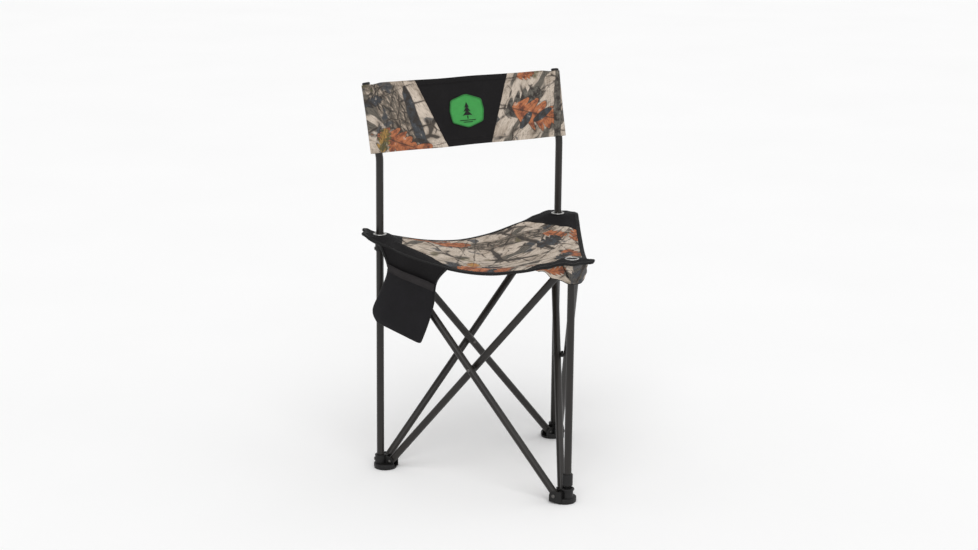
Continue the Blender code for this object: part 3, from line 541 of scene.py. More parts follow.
def grid_piece(name, rows, columns, place, material, body):
    """An open sheet. Place takes the shares down and across, and gives a point and its cloth coordinate."""
    made = [place(j / (rows - 1), i / (columns - 1)) for j in range(rows) for i in range(columns)]
    verts, uvs = zip(*made)
    return new_piece(name, verts, grid_faces(rows, columns), uvs, material, body, 180)


def swept(name, rings, lengths, material, body, smooth=50):
    """A closed solid through rings of points, with its ends capped."""
    count = len(rings[0])
    verts = [point for ring in rings for point in ring]
    around = path_lengths(rings[0])
    uvs = [(s, t) for s in lengths for t in around]
    faces = grid_faces(len(rings), count, wrap=True)
    faces.append(tuple(reversed(range(count))))
    faces.append(tuple(range(len(verts) - count, len(verts))))
    return outward(new_piece(name, verts, faces, uvs, material, body, smooth))


def path_lengths(points):
    steps = [(Vector(b) - Vector(a)).length for a, b in zip(points, points[1:])]
    return np.concatenate([[0.0], np.cumsum(steps)])


def rod(name, points, radius, material, body, sides=12, flat=None):
    """A round cord, piping or tube along points. Flat gives a second radius along the second direction."""
    rings = []
    for i, point in enumerate(points):
        ahead = Vector(points[min(i + 1, len(points) - 1)]) - Vector(points[max(i - 1, 0)])
        ahead.normalize()
        side = ahead.cross(UP)
        side = side.normalized() if side.length > 0.05 else Vector((1, 0, 0)).cross(ahead).normalized()
        other = side.cross(ahead)
        angles = [2 * math.pi * k / sides for k in range(sides)]
        across, up = side * radius, other * (flat or radius)
        rings.append([Vector(point) + across * math.cos(a) + up * math.sin(a) for a in angles])
    return swept(name, rings, path_lengths(points), material, body)


def stitches(name, points, normals, body):
    """A row of lock stitches along points: short plump threads lying on the cloth."""
    lengths = path_lengths(points)
    verts, faces, uvs = [], [], []
    count = max(1, int(lengths[-1] / STITCH_PITCH))
    for n in range(count):
        start = (n + 0.5) * lengths[-1] / count - STITCH_LENGTH / 2
        ends = []
        for s in (start, start + STITCH_LENGTH / 2, start + STITCH_LENGTH):
            i = max(min(int(np.searchsorted(lengths, s, "right")) - 1, len(points) - 2), 0)
            t = (s - lengths[i]) / max(lengths[i + 1] - lengths[i], 1e-9)
            ends.append((points[i].lerp(points[i + 1], t), normals[i].lerp(normals[i + 1], t)))
        along = (ends[2][0] - ends[0][0]).normalized()
        base = len(verts)
        for (point, up), swell in zip(ends, (0.45, 1.0, 0.45)):
            side = along.cross(up).normalized()
            centre = point + up * THREAD_RADIUS * (1.3 * swell - 0.5)
            for k in range(6):
                a = math.pi * k / 3
                verts.append(centre + (side * math.cos(a) + up * math.sin(a)) * THREAD_RADIUS * swell)
                uvs.append((start, k * THREAD_RADIUS))
        faces += [tuple(base + v for v in face) for face in grid_faces(3, 6, wrap=True)]
        faces.append(tuple(base + k for k in reversed(range(6))))
        faces.append(tuple(base + 12 + k for k in range(6)))
    return outward(new_piece(name, verts, faces, uvs, THREAD, body))


def turned_piece(name, profile, where, material, body, sides=48, smooth=35):
    """A turned piece from a closed outline of (radius, height) points about the Z of its place."""
    verts, uvs, faces = [], [], []
    count = len(profile)
    for k in range(sides):
        a = 2 * math.pi * k / sides
        m = (k + 1) % sides
        for i, (radius, height) in enumerate(profile):
            verts.append(where @ Vector((radius * math.cos(a), radius * math.sin(a), height)))
            uvs.append((radius * a, height))
            j = (i + 1) % count
            faces.append((k * count + i, k * count + j, m * count + j, m * count + i))
    return outward(new_piece(name, verts, faces, uvs, material, body, smooth), weld=1e-6)


def smoothstep(value, low, high):
    t = min(max((value - low) / (high - low), 0.0), 1.0)
    return t * t * (3 - 2 * t)


# Seat


def span(a, b):
    """Along a side of the tripod from corner a to corner b, and out of it."""
    along = (CORNERS[b] - CORNERS[a]).normalized()
    out = ((CORNERS[a] + CORNERS[b]) / 2 - TRIPOD).normalized()
    return along, out


def seat_height(x, y):
    """The sling: hung from three corners, level round each eyelet, with a few tension folds."""
    point = Vector((x, y, 0)) - TRIPOD
    radius = point.length
    angle = math.atan2(point.y, point.x) - math.radians(30)
    drop = CENTRE_DROP * (1 - (radius / (REACH - REACH_CHANGE * math.cos(3 * angle))) ** 1.5)
    beyond = max(span(*ends)[1].dot(point) for ends in SIDES.values()) - LEG_SIDE / (2 * math.sqrt(3))
    if beyond > 0:
        drop += HEM_DROOP * (beyond / SEAT_OFFSET) ** 2
    height = CORNER_Z - max(drop, 0.0)
    wrinkle = 0.0
    for name in NAMES:
        away = Vector((x, y, 0)) - CORNERS[name]
        distance = away.length
        outward_part = away.dot((CORNERS[name] - TRIPOD).normalized())
        height = (CORNER_Z - 0.0004) + (height - CORNER_Z + 0.0004) * smoothstep(distance, 0.016, 0.040)
        height += TIP_CURL[name] * smoothstep(outward_part, 0.012, 0.046)
        turn = math.atan2(away.y, away.x)
        fade = smoothstep(distance, 0.03, 0.07) * math.exp(-distance / 0.11)
        wrinkle += 0.0022 * fade * math.cos(11 * turn + 9 * distance)
    wrinkle += 0.0018 * noise.noise(Vector((x * 13, y * 13, 4.2))) * smoothstep(radius, 0.0, 0.05)
    return height + wrinkle


def seat_point(x, y, lift=0.0):
    point = Vector((x, y, seat_height(x, y)))
    return point + seat_normal(x, y) * lift if lift else point


def seat_normal(x, y, reach=0.002):
    slope_x = (seat_height(x + reach, y) - seat_height(x - reach, y)) / (2 * reach)
    slope_y = (seat_height(x, y + reach) - seat_height(x, y - reach)) / (2 * reach)
    return Vector((-slope_x, -slope_y, 1)).normalized()


def hem_path(a, b, steps=14, straight=48, inset=0.0):
    """One side's hem in plan, from the tip at corner a to the tip at corner b, and the way in from it."""
    along, out = span(a, b)
    points = []

    def tip(name, angle, side):
        share = smoothstep(angle, math.radians(20), math.radians(60))
        reach = SEAT_OFFSET + (TIP_OFFSET[name] - SEAT_OFFSET) * share - inset
        way = out * math.cos(angle) + along * side * math.sin(angle)
        points.append((CORNERS[name] + reach * way, -way))

    for i in range(steps + 1):
        tip(a, math.radians(60 * (1 - i / steps)), -1)
    for i in range(1, straight):
        points.append((CORNERS[a] + out * (SEAT_OFFSET - inset) + along * LEG_SIDE * i / straight, -out))
    for i in range(steps + 1):
        tip(b, math.radians(60 * i / steps), 1)
    return points


def fold_seat(obj, side, height=CORNER_Z):
    """Gives a piece along a side its own mesh. The fold's axis and its start by the carrying hub's corner are
    worked out and handed on, but nothing uses them, so the piece is not gathered.
    """
    along = span(*SIDES[side])[0]
    start = CORNERS[SIDES[side][0]] + along * CLEAR_OF_POST
    if side == "right":
        start = CORNERS["front"] - along * CLEAR_OF_POST
    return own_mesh(obj, "fold", axis=tuple(along), anchor=(start.x, start.y, height), keep=SEAT_KEEP)


def seat_stitches(name, places, lift, body):
    """A row of stitches on the seat, over places in plan."""
    line = [seat_point(p.x, p.y, lift) for p in places]
    return stitches(name, line, [seat_normal(p.x, p.y) for p in places], body)


def seat_panel(side):
    """One third of the sling as an open sheet: a fan from the middle to the hem."""
    hem = [point for point, _ in hem_path(*SIDES[side])]
    rows, count = 44, len(hem)
    verts = [Vector((TRIPOD.x, TRIPOD.y, seat_height(TRIPOD.x, TRIPOD.y)))]
    for j in range(1, rows + 1):
        for point in hem:
            place = TRIPOD.lerp(point, j / rows)
            verts.append(seat_point(place.x, place.y))
    faces = [(0, 1 + i, 2 + i) for i in range(count - 1)]
    faces += [tuple(1 + v for v in face) for face in grid_faces(rows, count)]
    uvs = [(v.x - TRIPOD.x, v.y - TRIPOD.y) for v in verts]
    return new_piece("seat_cloth_" + side, verts, faces, uvs, CAMO_SEAT, "seat_" + side, 180)


def in_plan(point):
    return Vector((point.x, point.y, 0))


def open_eyelets(obj, side):
    """Cuts the round holes for the eyelets and draws their rims into circles."""
    with editing(obj) as bm:
        for name in SIDES[side]:
            centre = CORNERS[name]
            near = [v for v in bm.verts if (in_plan(v.co) - centre).length < HOLE_RADIUS]
            bmesh.ops.delete(bm, geom=near, context="VERTS")
            for vert in bm.verts:
                away = in_plan(vert.co) - centre
                hole_edge = vert.is_boundary and away.length < HOLE_RADIUS + 0.008
                on_seam = abs(away.cross((centre - TRIPOD).normalized()).z) < 1e-5
                if hole_edge and not on_seam:
                    place = centre + away.normalized() * HOLE_RADIUS
                    vert.co = seat_point(place.x, place.y)
        loose = [v for v in bm.verts if not v.link_faces]
        bmesh.ops.delete(bm, geom=loose, context="VERTS")


def corner_patch(panel, side, name):
    """The black reinforcement sewn over a panel at one corner, above and below the cloth."""
    patch = bpy.data.objects.new(f"seat_patch_{name}_{side}", panel.data.copy())
    patch.data.name = patch.name
    patch.data.materials.clear()
    patch.data.materials.append(BLACK_CLOTH)
    bpy.context.scene.collection.objects.link(patch)
    inward = (TRIPOD - CORNERS[name]).normalized()
    cut = CORNERS[name] + inward * PATCH_REACH[name]
    with editing(patch) as bm:
        geometry = bm.verts[:] + bm.edges[:] + bm.faces[:]
        bmesh.ops.bisect_plane(bm, geom=geometry, plane_co=cut, plane_no=inward, clear_outer=True)
        far = [v for v in bm.verts if (in_plan(v.co) - CORNERS[name]).length > 0.2]
        bmesh.ops.delete(bm, geom=far, context="VERTS")
    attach(patch, "seat_" + side)
    return thicken(patch, CLOTH + 0.0016)


def tape(name, path, material, body):
    """A tape folded over the hem. The path gives plan points on the hem and the way in from it."""
    section = [(0.0, 1.7), (0.35, 1.6), (0.90, 1.0), (1.0, 0.4)]
    around = [(1, *place) for place in section] + [(-1, *place) for place in reversed(section)]
    rings = []
    for point, inward in path:
        ring = []
        for side, share, swell in around:
            place = point + inward * BINDING_WIDTH * share
            ring.append(seat_point(place.x, place.y, side * (HALF_CLOTH + BINDING_THICK * swell)))
        edge = seat_point(point.x, point.y) - inward * BINDING_THICK
        normal = seat_normal(point.x, point.y)
        ring += [edge + inward * 0.0002 - normal * BINDING_THICK * 1.1, edge - inward * 0.0005]
        ring.append(edge + inward * 0.0002 + normal * BINDING_THICK * 1.1)
        rings.append(ring)
    centres = [seat_point(point.x, point.y) for point, _ in path]
    return swept(name, rings, path_lengths(centres), material, body)


def make_seat():
    for side, ends in SIDES.items():
        body = "seat_" + side
        panel = seat_panel(side)
        open_eyelets(panel, side)
        patches = [corner_patch(panel, side, name) for name in ends]
        thicken(panel, CLOTH)
        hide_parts("seat_panel_" + side)
        hem = tape("seat_binding_" + side, hem_path(*ends), TAPE, body)
        row = [point for point, _ in hem_path(*ends, inset=BINDING_WIDTH - 0.0014)]
        thread = seat_stitches("seat_binding_stitches_" + side, row, HALF_CLOTH + BINDING_THICK, body)
        seams = [patch_stitches(side, name) for name in ends]
        if side == "left":
            seams += make_flap()
        for piece in [panel, hem, thread, *patches, *seams]:
            fold_seat(piece, side)


def sheet_area(obj):
    """Half of a thickened sheet's own area, which is its cut area."""
    return sum(face.area for face in obj.data.polygons) / 2


def patch_stitches(side, name):
    """The row that holds a corner patch's inner edge."""
    out = span(*SIDES[side])[1]
    inward = (TRIPOD - CORNERS[name]).normalized()
    cross = (out - inward * out.dot(inward)).normalized()
    inset = PATCH_REACH[name] - 0.003
    start = CORNERS[name] + inward * inset
    reach = (SEAT_OFFSET - BINDING_WIDTH + inset * 0.5) / cross.dot(out)
    places = [start + cross * (0.002 + (reach - 0.004) * i / 24) for i in range(25)]
    return seat_stitches(f"seat_patch_stitches_{name}_{side}", places, HALF_CLOTH + 0.0008, "seat_" + side)


def flap_width(t):
    """How far the pocket's flap reaches in over the seat, along the hem from the rear corner."""
    return 0.039 - 0.031 * smoothstep(t, 0.105, 0.200)


def make_flap():
    """The black flap that joins the pocket to the seat: it lies on the cloth, inside the hem."""
    along, out = span("left", "front")
    first, last, rows = 0.045, 0.196, 48

    def spot(t, inset):
        return CORNERS["left"] + along * t + out * (SEAT_OFFSET - inset)

    def place(down, across):
        t = first + (last - first) * down
        inset = 0.001 + (flap_width(t) - 0.001) * across
        p = spot(t, inset)
        return seat_point(p.x, p.y, HALF_CLOTH + 0.0009), (t, inset)

    flap = grid_piece("pocket_flap", rows, 12, place, BLACK_CLOTH, "seat_left")
    outward(thicken(flap, 0.0011))
    row = [first + (last - 0.002 - first) * j / (rows - 1) for j in range(rows)]
    row = [spot(t, flap_width(t) - 0.0022) for t in row]
    return [flap, seat_stitches("pocket_flap_stitches", row, HALF_CLOTH + 0.0016, "seat_left")]


def make_eyelets():
    """Rolled nickel eyelets, each on a round of black cloth that stays level with its hub."""
    top = CORNER_Z + 0.0016
    under = top - 0.0030
    disc = [(0.0116, top), (0.0185, top), (0.0196, top - 0.0006), (0.0196, top - 0.0024)]
    disc.append((0.0116, top - 0.0024))
    angles = [math.pi * i / 8 for i in range(9)]
    ring = [(0.0127 - 0.0019 * math.cos(a), top + 0.0003 + 0.0011 * math.sin(a)) for a in angles]
    ring += [(0.0146, top + 0.0001), (0.0118, top), (0.0116, under), (0.0143, under)]
    ring += [(0.0143, top - 0.0036), (0.0112, top - 0.0038), (0.0108, under)]
    for name, body in (("left", "left_hub"), ("right", "right_hub"), ("front", "front_leg")):
        where = Matrix.Translation(CORNERS[name])
        cloth = turned_piece("eyelet_cloth_" + name, disc, where, BLACK_CLOTH, body)
        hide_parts("corner_patch_" + name)
        eyelet = turned_piece("eyelet_" + name, ring, where, NICKEL, body, 64, 60)
        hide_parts("grommet_" + name)


# Backrest


def back_point(x, s, depth=0.0):
    """A point of the backrest band: across, up along the lean, and out of its front."""
    y = CORNERS["left"].y + math.sin(LEAN_BACK) * s - math.cos(LEAN_BACK) * depth
    return Vector((x, y, BEND_Z + math.cos(LEAN_BACK) * s + math.sin(LEAN_BACK) * depth))


def post_half(s):
    """Half the distance between the posts' axes at a height along the backrest."""
    return LEG_SIDE / 2 + s * math.tan(LEAN_OUT) * math.cos(LEAN_BACK)


def band_sag(x, s):
    """The band's slack: it bows back between the posts and ripples along its edges."""
    share = x / post_half(s)
    bow = -0.0035 * (1 - share * share)
    edge = abs(2 * (s - BACK_BOTTOM) / (BACK_TOP - BACK_BOTTOM) - 1)
    ripple = 0.0012 * edge * math.sin(x * 55 + 1.3) + 0.0014 * noise.noise(Vector((x * 16, s * 20, 9.1)))
    return bow + ripple * smoothstep(1 - abs(share), 0.0, 0.12)


def band_edge(x, s):
    """How far the band's edges wander: a little all along, and down beside the posts' caps at the top."""
    wander = 0.0005 * math.sin(x * 31 + 0.6) * smoothstep(0.23 - abs(x), 0.0, 0.05)
    beside = smoothstep(post_half(s) - abs(x), 0.036, 0.010)
    return wander - CAP_SHOWS * beside * smoothstep(s, BACK_TOP - 0.035, BACK_TOP)


def band_place(x, s, lift=0.0):
    """A point on the band: across, up along the lean, and out of its cloth."""
    return back_point(x, s + band_edge(x, s), band_sag(x, s) + lift)


def band_panel(name, edges, material, thick, lift, s_low=BACK_BOTTOM, s_high=BACK_TOP):
    """Part of the band. Edges gives the x of its left and right edge at a height."""

    def place(up, across):
        s = s_low + (s_high - s_low) * up
        left, right = edges(s)
        x = left + (right - left) * across
        return band_place(x, s, lift), (x, s)

    return thicken(grid_piece(name, 26, 40, place, material, "left_post"), thick)


def band_stitches(name, line, body="left_post"):
    """A row of stitches over points on the band."""
    face = Vector((0, -math.cos(LEAN_BACK), math.sin(LEAN_BACK)))
    return stitches(name, line, [face] * len(line), body)


def heights(margin):
    """31 heights up the band, with a margin at both ends."""
    return [BACK_BOTTOM + margin + (BACK_TOP - BACK_BOTTOM - 2 * margin) * i / 30 for i in range(31)]


def fold_back(obj):
    """Gives a piece of the band its own mesh. A start by the left post is worked out, but nothing uses it, so
    the piece is not gathered.
    """
    start = back_point(POST_CLEAR - LEG_SIDE / 2, 0)
    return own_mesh(obj)


def make_sleeve(name, side, body, material):
    """The band's end: two layers that part round the post and meet again in a sewn flap."""
    rows, half = 30, 25

    def place(up, i, layer):
        s = BACK_BOTTOM - 0.0003 + (BACK_TOP - BACK_BOTTOM + 0.0006) * up
        flap = 0.0188 - 0.061 * (s - BACK_BOTTOM)
        share = i / (half - 1) if layer == 1 else 1 - i / (half - 1)
        across = -SLEEVE_HALF + (SLEEVE_HALF + flap) * share
        swell = 0.5 + 0.5 * math.cos(math.pi * min(1.0, abs(across) / 0.0205))
        pucker = 0.0007 * noise.noise(Vector((across * 60, s * 45, 3.0 * side + layer)))
        closing = math.sqrt(max(0.0, 1 - (max(across, 0.0) / flap) ** 6))
        depth = layer * ((0.0003 + 0.0092 * swell**0.75 + pucker) * closing + 0.0006)
        x = side * (post_half(s) + across)
        return back_point(x, s + band_edge(x, s), depth + band_sag(side * post_half(s), s)), (x, s)

    made = [place(j / (rows - 1), i, layer) for j in range(rows) for layer in (1, -1) for i in range(half)]
    verts, uvs = zip(*made)
    faces = grid_faces(rows, 2 * half, wrap=True)
    sleeve = outward(new_piece("back_sleeve_cloth_" + name, verts, faces, uvs, material, body, 70))
    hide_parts("back_sleeve_" + name)
    thicken(sleeve, 0.0007, -1)
    line = []
    for s in heights(0.003):
        x = side * (post_half(s) - 0.0180)
        line.append(back_point(x, s + band_edge(x, s), band_sag(side * post_half(s), s) + 0.0022))
    band_stitches("back_sleeve_stitches_" + name, line, body)


def black_edge(side, s):
    """The x of the slanted edge of the black middle at a height."""
    share = (s - 0.013) / 0.146
    return side * (0.0515 + 0.0615 * share) - 0.004 * share


def make_backrest():
    inner = 0.0130
    panels = {
        "left": (CAMO_LEFT, lambda s, over: (inner - post_half(s), black_edge(-1, s))),
        "right": (CAMO_RIGHT, lambda s, over: (black_edge(1, s), post_half(s) - inner)),
        "centre": (BLACK_CLOTH, lambda s, over: (black_edge(-1, s) - over, black_edge(1, s) + over)),
    }
    pieces = []
    for label, (material, edges) in panels.items():
        thick, lift = (0.0010, 0.0011) if label == "centre" else (CLOTH, 0.0)
        pieces.append(band_panel("back_cloth_" + label, lambda s: edges(s, 0.004), material, thick, lift))
    for panel, label in zip(pieces[:3], panels):
        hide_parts("back_panel_" + label)
    left, right, centre = pieces
    hems = (("bottom", BACK_BOTTOM - 0.0004, BACK_BOTTOM + 0.0125), ("top", BACK_TOP - 0.0119, BACK_TOP))
    for label in ("left", "centre", "right"):
        material, edges = panels[label]
        lift = 0.0019 if label == "centre" else 0.0010
        for place, low, high in hems:
            name = f"{place}_{label}"
            hem = band_panel("back_hem_" + name, lambda s: edges(s, 0.003), material, 0.0009, lift, low, high)
            s = high - 0.002 if place == "bottom" else low + 0.0024
            start, end = edges(s, 0.003)
            line = [band_place(start + (end - start) * i / 40, s, lift + 0.0005) for i in range(41)]
            pieces += [hem, band_stitches("back_stitches_" + name, line)]
    for side, label in ((-1, "left"), (1, "right")):
        line = [band_place(black_edge(side, s) + side * 0.002, s, 0.0016) for s in heights(0.002)]
        pieces.append(band_stitches("back_seam_stitches_" + label, line))
    for piece in pieces + make_badge():
        fold_back(piece)
    for panel, rest in ((left, "back_sleeve_left"), (centre, "rear_post_left"), (right, "back_sleeve_right")):
        sheet_area(panel)
    make_sleeve("left", -1, "left_post", CAMO_LEFT)
    make_sleeve("right", 1, "right_post", CAMO_RIGHT)


def hexagon(scale_x, scale_s):
    """The badge's outline: a tall hexagon with rounded corners, its sides slightly bowed, in x and s."""
    right = [(0, 1.0), (0.90, 0.66), (1.0, 0.0), (0.90, -0.66)]
    corners = [Vector(p) for p in right] + [-Vector(p) for p in right]
    points, reach, rounding = [], 0.16, 5
    for i, here in enumerate(corners):
        start, end = here.lerp(corners[i - 1], reach), here.lerp(corners[(i + 1) % len(corners)], reach)
        for t in (k / (rounding - 1) for k in range(rounding)):
            point = start.lerp(here, t).lerp(here.lerp(end, t), t)
            points.append((point.x * scale_x, BADGE_S + point.y * scale_s))
    return points


def relief(name, outline, low, high, material, hole=None):
    """A raised shape between two heights over the band. A ring has an inner outline, its hole."""
    bevel = 0.0004
    low, high = low + BADGE_BASE, high + BADGE_BASE

    def ring(points, depth, inset=0.0):
        centre = sum((Vector(p) for p in points), Vector((0, 0))) / len(points)
        made = []
        for point in points:
            away = Vector(point) - centre
            x, s = centre + away * (1 - inset / max(away.length, 1e-6))
            made.append((back_point(x, s, band_sag(x, s) + depth), (x, s)))
        return made

    loops = [ring(outline, low), ring(outline, high - bevel), ring(outline, high, bevel)]
    count = len(outline)
    if hole:
        loops += [ring(hole, high, -bevel), ring(hole, high - bevel), ring(hole, low)]
    else:
        centre = sum((Vector(p) for p in outline), Vector((0, 0))) / count
        for share in (0.75, 0.5, 0.25):
            loops.append(ring([tuple(centre.lerp(Vector(p), share)) for p in outline], high))
    verts, uvs = zip(*(spot for loop in loops for spot in loop))
    faces = grid_faces(len(loops), count, wrap=True)
    if hole:
        last = (len(loops) - 1) * count
        faces += [(last + i, last + (i + 1) % count, (i + 1) % count, i) for i in range(count)]
    else:
        faces.append(tuple(range(len(verts) - count, len(verts))))
        faces.append(tuple(reversed(range(count))))
    return outward(new_piece(name, verts, faces, uvs, material, "left_post", 40))


def mirrored(right):
    """An outline whose left half mirrors its right half, given from the top down."""
    return right + [(-x, s) for x, s in reversed(right) if x]


def make_badge():
    """A sewn badge: a green field with a satin-stitched rim, and a plain pine tree for its picture."""
    half_x, half_s = 0.0425, 0.0365
    rim, hole = hexagon(half_x + 0.0006, half_s + 0.0006), hexagon(half_x - 0.0019, half_s - 0.0018)
    pieces = [relief("badge_field", hexagon(half_x, half_s), 0.0, 0.0011, BADGE_GREEN),
              relief("badge_rim", rim, 0.0, 0.0020, BADGE_RIM, hole)]
    for i in range(3):
        top, width = BADGE_S + 0.0190 - 0.0085 * i, 0.0062 + 0.0032 * i
        low = top - 0.0125
        tier = mirrored([(0, top), (width, low), (width * 0.45, low + 0.0014), (0, low + 0.0004)])
        pieces.append(relief(f"badge_tree_{i}", tier, 0.0009, 0.0017, BADGE_BLACK))
    foot = BADGE_S - 0.0130
    trunk = [(0.0013, foot + 0.002), (0.0013, foot - 0.0045)]
    pieces.append(relief("badge_tree_trunk", mirrored(trunk), 0.0009, 0.0016, BADGE_BLACK))
    for i, width in enumerate((0.0200, 0.0120)):
        s = foot - 0.0075 - 0.0040 * i
        bar = [(-width, s + 0.0009), (width, s + 0.0009), (width, s - 0.0009), (-width, s - 0.0009)]
        pieces.append(relief(f"badge_bar_{i}", bar, 0.0009, 0.0015, BADGE_BLACK))
    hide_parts("back_badge")
    return pieces


# Pocket


def pocket_point(t, z, depth=0.0):
    """A point of the pocket: along the left side from its rear corner, height, and out of the chair."""
    along, out = span("left", "front")
    place = CORNERS["left"] + along * t + out * (SEAT_OFFSET + 0.0020 + depth)
    return Vector((place.x, place.y, z))


def pocket_side(hem, waist, low, bottom, bow):
    """The five places that a side of the pocket curves through. It bows between its waist and its low end."""
    return [hem, waist, ((waist[0] + low[0]) / 2 + bow, (waist[1] + low[1]) / 2), low, bottom]


# Each place is along the hem from the rear corner, and up from the floor
POCKET_LEFT = pocket_side((0.031, 0.506), (0.050, 0.462), (0.013, 0.368), (0.023, 0.343), 0.0025)
POCKET_RIGHT = pocket_side((0.190, 0.484), (0.165, 0.446), (0.143, 0.350), (0.127, 0.311), 0.0040)
MOUTH_LEFT = 0.19
MOUTH_SLOPE = 0.08
BAND_HIGH = 0.085
POCKET_LEVEL = 0.4


def along_list(points, share):
    """A point part of the way down a list of points, on a smooth curve through them."""
    place = share * (len(points) - 1)
    i = min(int(place), len(points) - 2)
    f = place - i
    p = [Vector(points[max(0, min(len(points) - 1, i + k))]) for k in (-1, 0, 1, 2)]
    a = p[1] * 2 + (p[2] - p[0]) * f
    b = (p[0] * 2 - p[1] * 5 + p[2] * 4 - p[3]) * f * f
    c = (p[1] * 3 - p[0] - p[2] * 3 + p[3]) * f**3
    return (a + b + c) / 2


def mouth(u):
    """How far down the pocket its mouth is."""
    return MOUTH_LEFT + MOUTH_SLOPE * u


def pocket_bulge(u, v):
    """The pocket's back hangs in soft vertical folds. Its top edge lies against the hem's binding."""
    free = smoothstep(v, 0.0, 0.3)
    fold = 0.0022 * math.sin(5.5 * u + 1.2) + 0.0025 * noise.noise(Vector((u * 2.6, v * 3.1, 1.7)))
    return fold * free - 0.0006 * (1 - free)


def net_bulge(u, v):
    """The net stands out from the back, most in its lower middle, and crumples a little."""
    share = min(1.0, max(0.0, (v - mouth(u)) / (1 - mouth(u))))
    swell = (math.sin(math.pi * u) ** 0.6) * (math.sin(math.pi * (0.18 + 0.78 * share)) ** 0.8)
    crumple = 0.0020 * noise.noise(Vector((u * 6.0 + 2 * v, v * 4.0 - u, 5.5))) * swell
    return 0.0022 + 0.0085 * swell + crumple


def net_depth(u, v, lift=0.0):
    return pocket_bulge(u, v) + net_bulge(u, v) + lift


def hem_height(t):
    along, out = span("left", "front")
    place = CORNERS["left"] + along * t + out * SEAT_OFFSET
    return seat_height(place.x, place.y) + 0.0008


def pocket_place(u, v):
    """Where the pocket's cloth is, along the side and up, from its shares across and down."""
    t, z = along_list(POCKET_LEFT, v).lerp(along_list(POCKET_RIGHT, v), u)
    top = hem_height(t) - POCKET_LEFT[0][1] - (POCKET_RIGHT[0][1] - POCKET_LEFT[0][1]) * u
    return t, z + top * (1 - smoothstep(v, 0.0, 0.25))


def pocket_sheet(name, low, high, depth, material, thick=0.0009):
    """Part of the pocket between two levels, each a share of the way down at a share of the way across."""

    def place(down, u):
        v = low(u) + (high(u) - low(u)) * down
        t, z = pocket_place(u, v)
        return pocket_point(t, z, depth(u, v)), (t, z)

    return thicken(grid_piece(name, 40, 34, place, material, "pocket"), thick)


def make_pocket():
    bottom = lambda u: 1.0
    back = pocket_sheet("pocket_cloth", lambda u: 0.0, bottom, pocket_bulge, BLACK_CLOTH)
    net = pocket_sheet("pocket_net", mouth, bottom, net_depth, NET, 0.0007)
    band = pocket_sheet("pocket_mouth_band", mouth, lambda u: mouth(u) + BAND_HIGH,
                        lambda u, v: net_depth(u, v, 0.0010), CHARCOAL, 0.0012)
    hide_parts("pocket_back")
    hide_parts("pocket_mesh")
    steps = [i / 60 for i in range(61)]
    outline = [pocket_place(0, v) for v in steps]
    outline += [pocket_place(u, 1) for u in steps[2:-2:3]]
    outline += [pocket_place(1, v) for v in reversed(steps)]
    outline = [Vector(p) for p in outline]
    for _ in range(3):
        inner = zip(outline, outline[1:], outline[2:])
        outline = [outline[0], *((a + b * 2 + c) / 4 for a, b, c in inner), outline[-1]]
    line = [pocket_point(t, z, 0.0012) for t, z in outline]
    piping = rod("pocket_piping", line, 0.0019, GLOSSY_TAPE, "pocket", 12, 0.0026)
    pieces = [back, net, band, piping]
    for label, down in (("upper", 0.012), ("lower", BAND_HIGH - 0.012)):
        places = [(u, mouth(u) + down) for u in (0.03 + 0.94 * i / 39 for i in range(40))]
        row = [pocket_point(*pocket_place(u, v), net_depth(u, v, 0.0017)) for u, v in places]
        ups = [span("left", "front")[1]] * len(row)
        pieces.append(stitches("pocket_mouth_stitches_" + label, row, ups, "pocket"))
    for piece in pieces:
        fold_seat(piece, "left", POCKET_LEVEL)


# Front corner


def gusset_point(degrees, v, lift=0.0):
    """A point of the front pouch: the angle from the corner's outward way, and the share of the way down."""
    side = abs(degrees)
    a = math.radians(degrees - 90)
    top_radius = 0.0385 - 0.0060 * smoothstep(degrees, -60, 10)
    top_radius /= math.cos(math.radians(max(0.0, side - 60)))
    low_radius = 0.0200 + (top_radius - 0.0040 - 0.0200) * smoothstep(side, 35, 95)
    radius = top_radius + (low_radius - top_radius) * v**1.4
    wave = 0.0016 * math.cos(9 * a + 4 * v) + 0.0024 * noise.noise(Vector((3 * a, 5 * v, 2.2)))
    radius += wave * smoothstep(v, 0.05, 0.6) * (1 - smoothstep(v, 0.8, 1.0) * 0.6) + lift
    way = Vector((math.cos(a), math.sin(a), 0))
    rim = CORNERS["front"] + way * top_radius
    high = seat_height(rim.x, rim.y) - 0.0026
    low = 0.4735 + 0.0110 * smoothstep(side, 40, 95)
    low += (high - 0.003 - low) * smoothstep(side, 95, 118)
    place = CORNERS["front"] + way * radius
    return Vector((place.x, place.y, high + (low - high) * v))


def make_gusset():
    """The pouch of cloth under the front corner, gathered in to the leg, with a dark strap."""
    rows, columns, spread = 18, 89, 118

    def place(down, across):
        degrees = spread * (2 * across - 1)
        return gusset_point(degrees, down), (math.radians(degrees) * 0.038, 0.040 * (1 - down))

    pouch = grid_piece("front_gusset_cloth", rows, columns, place, CAMO_GUSSET, "front_leg")
    line = [gusset_point(spread * (2 * i / (columns - 1) - 1), 1.0) for i in range(columns)]
    thicken(pouch, CLOTH)
    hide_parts("front_corner_gusset")
    rod("front_gusset_binding", line, 0.0011, TAPE, "front_leg", 10)
    strap = [gusset_point(-62 + 14 * i / 11, 0.10 + 0.55 * i / 11, 0.0012) for i in range(12)]
    rod("front_gusset_strap", strap, 0.0032, TAPE, "front_leg", 12, 0.0008)


# Frame


def tube_axis(node):
    """The ends of a straight tube's axis, from its own points."""
    co = np.array([v.co for v in frame["nodes"][node].data.vertices], float)
    centre = co.mean(0)
    _, _, axes = np.linalg.svd(co - centre, full_matrices=False)
    along = axes[0]
    reach = (co - centre) @ along
    return Vector(centre + along * reach.min()), Vector(centre + along * reach.max()), Vector(along)


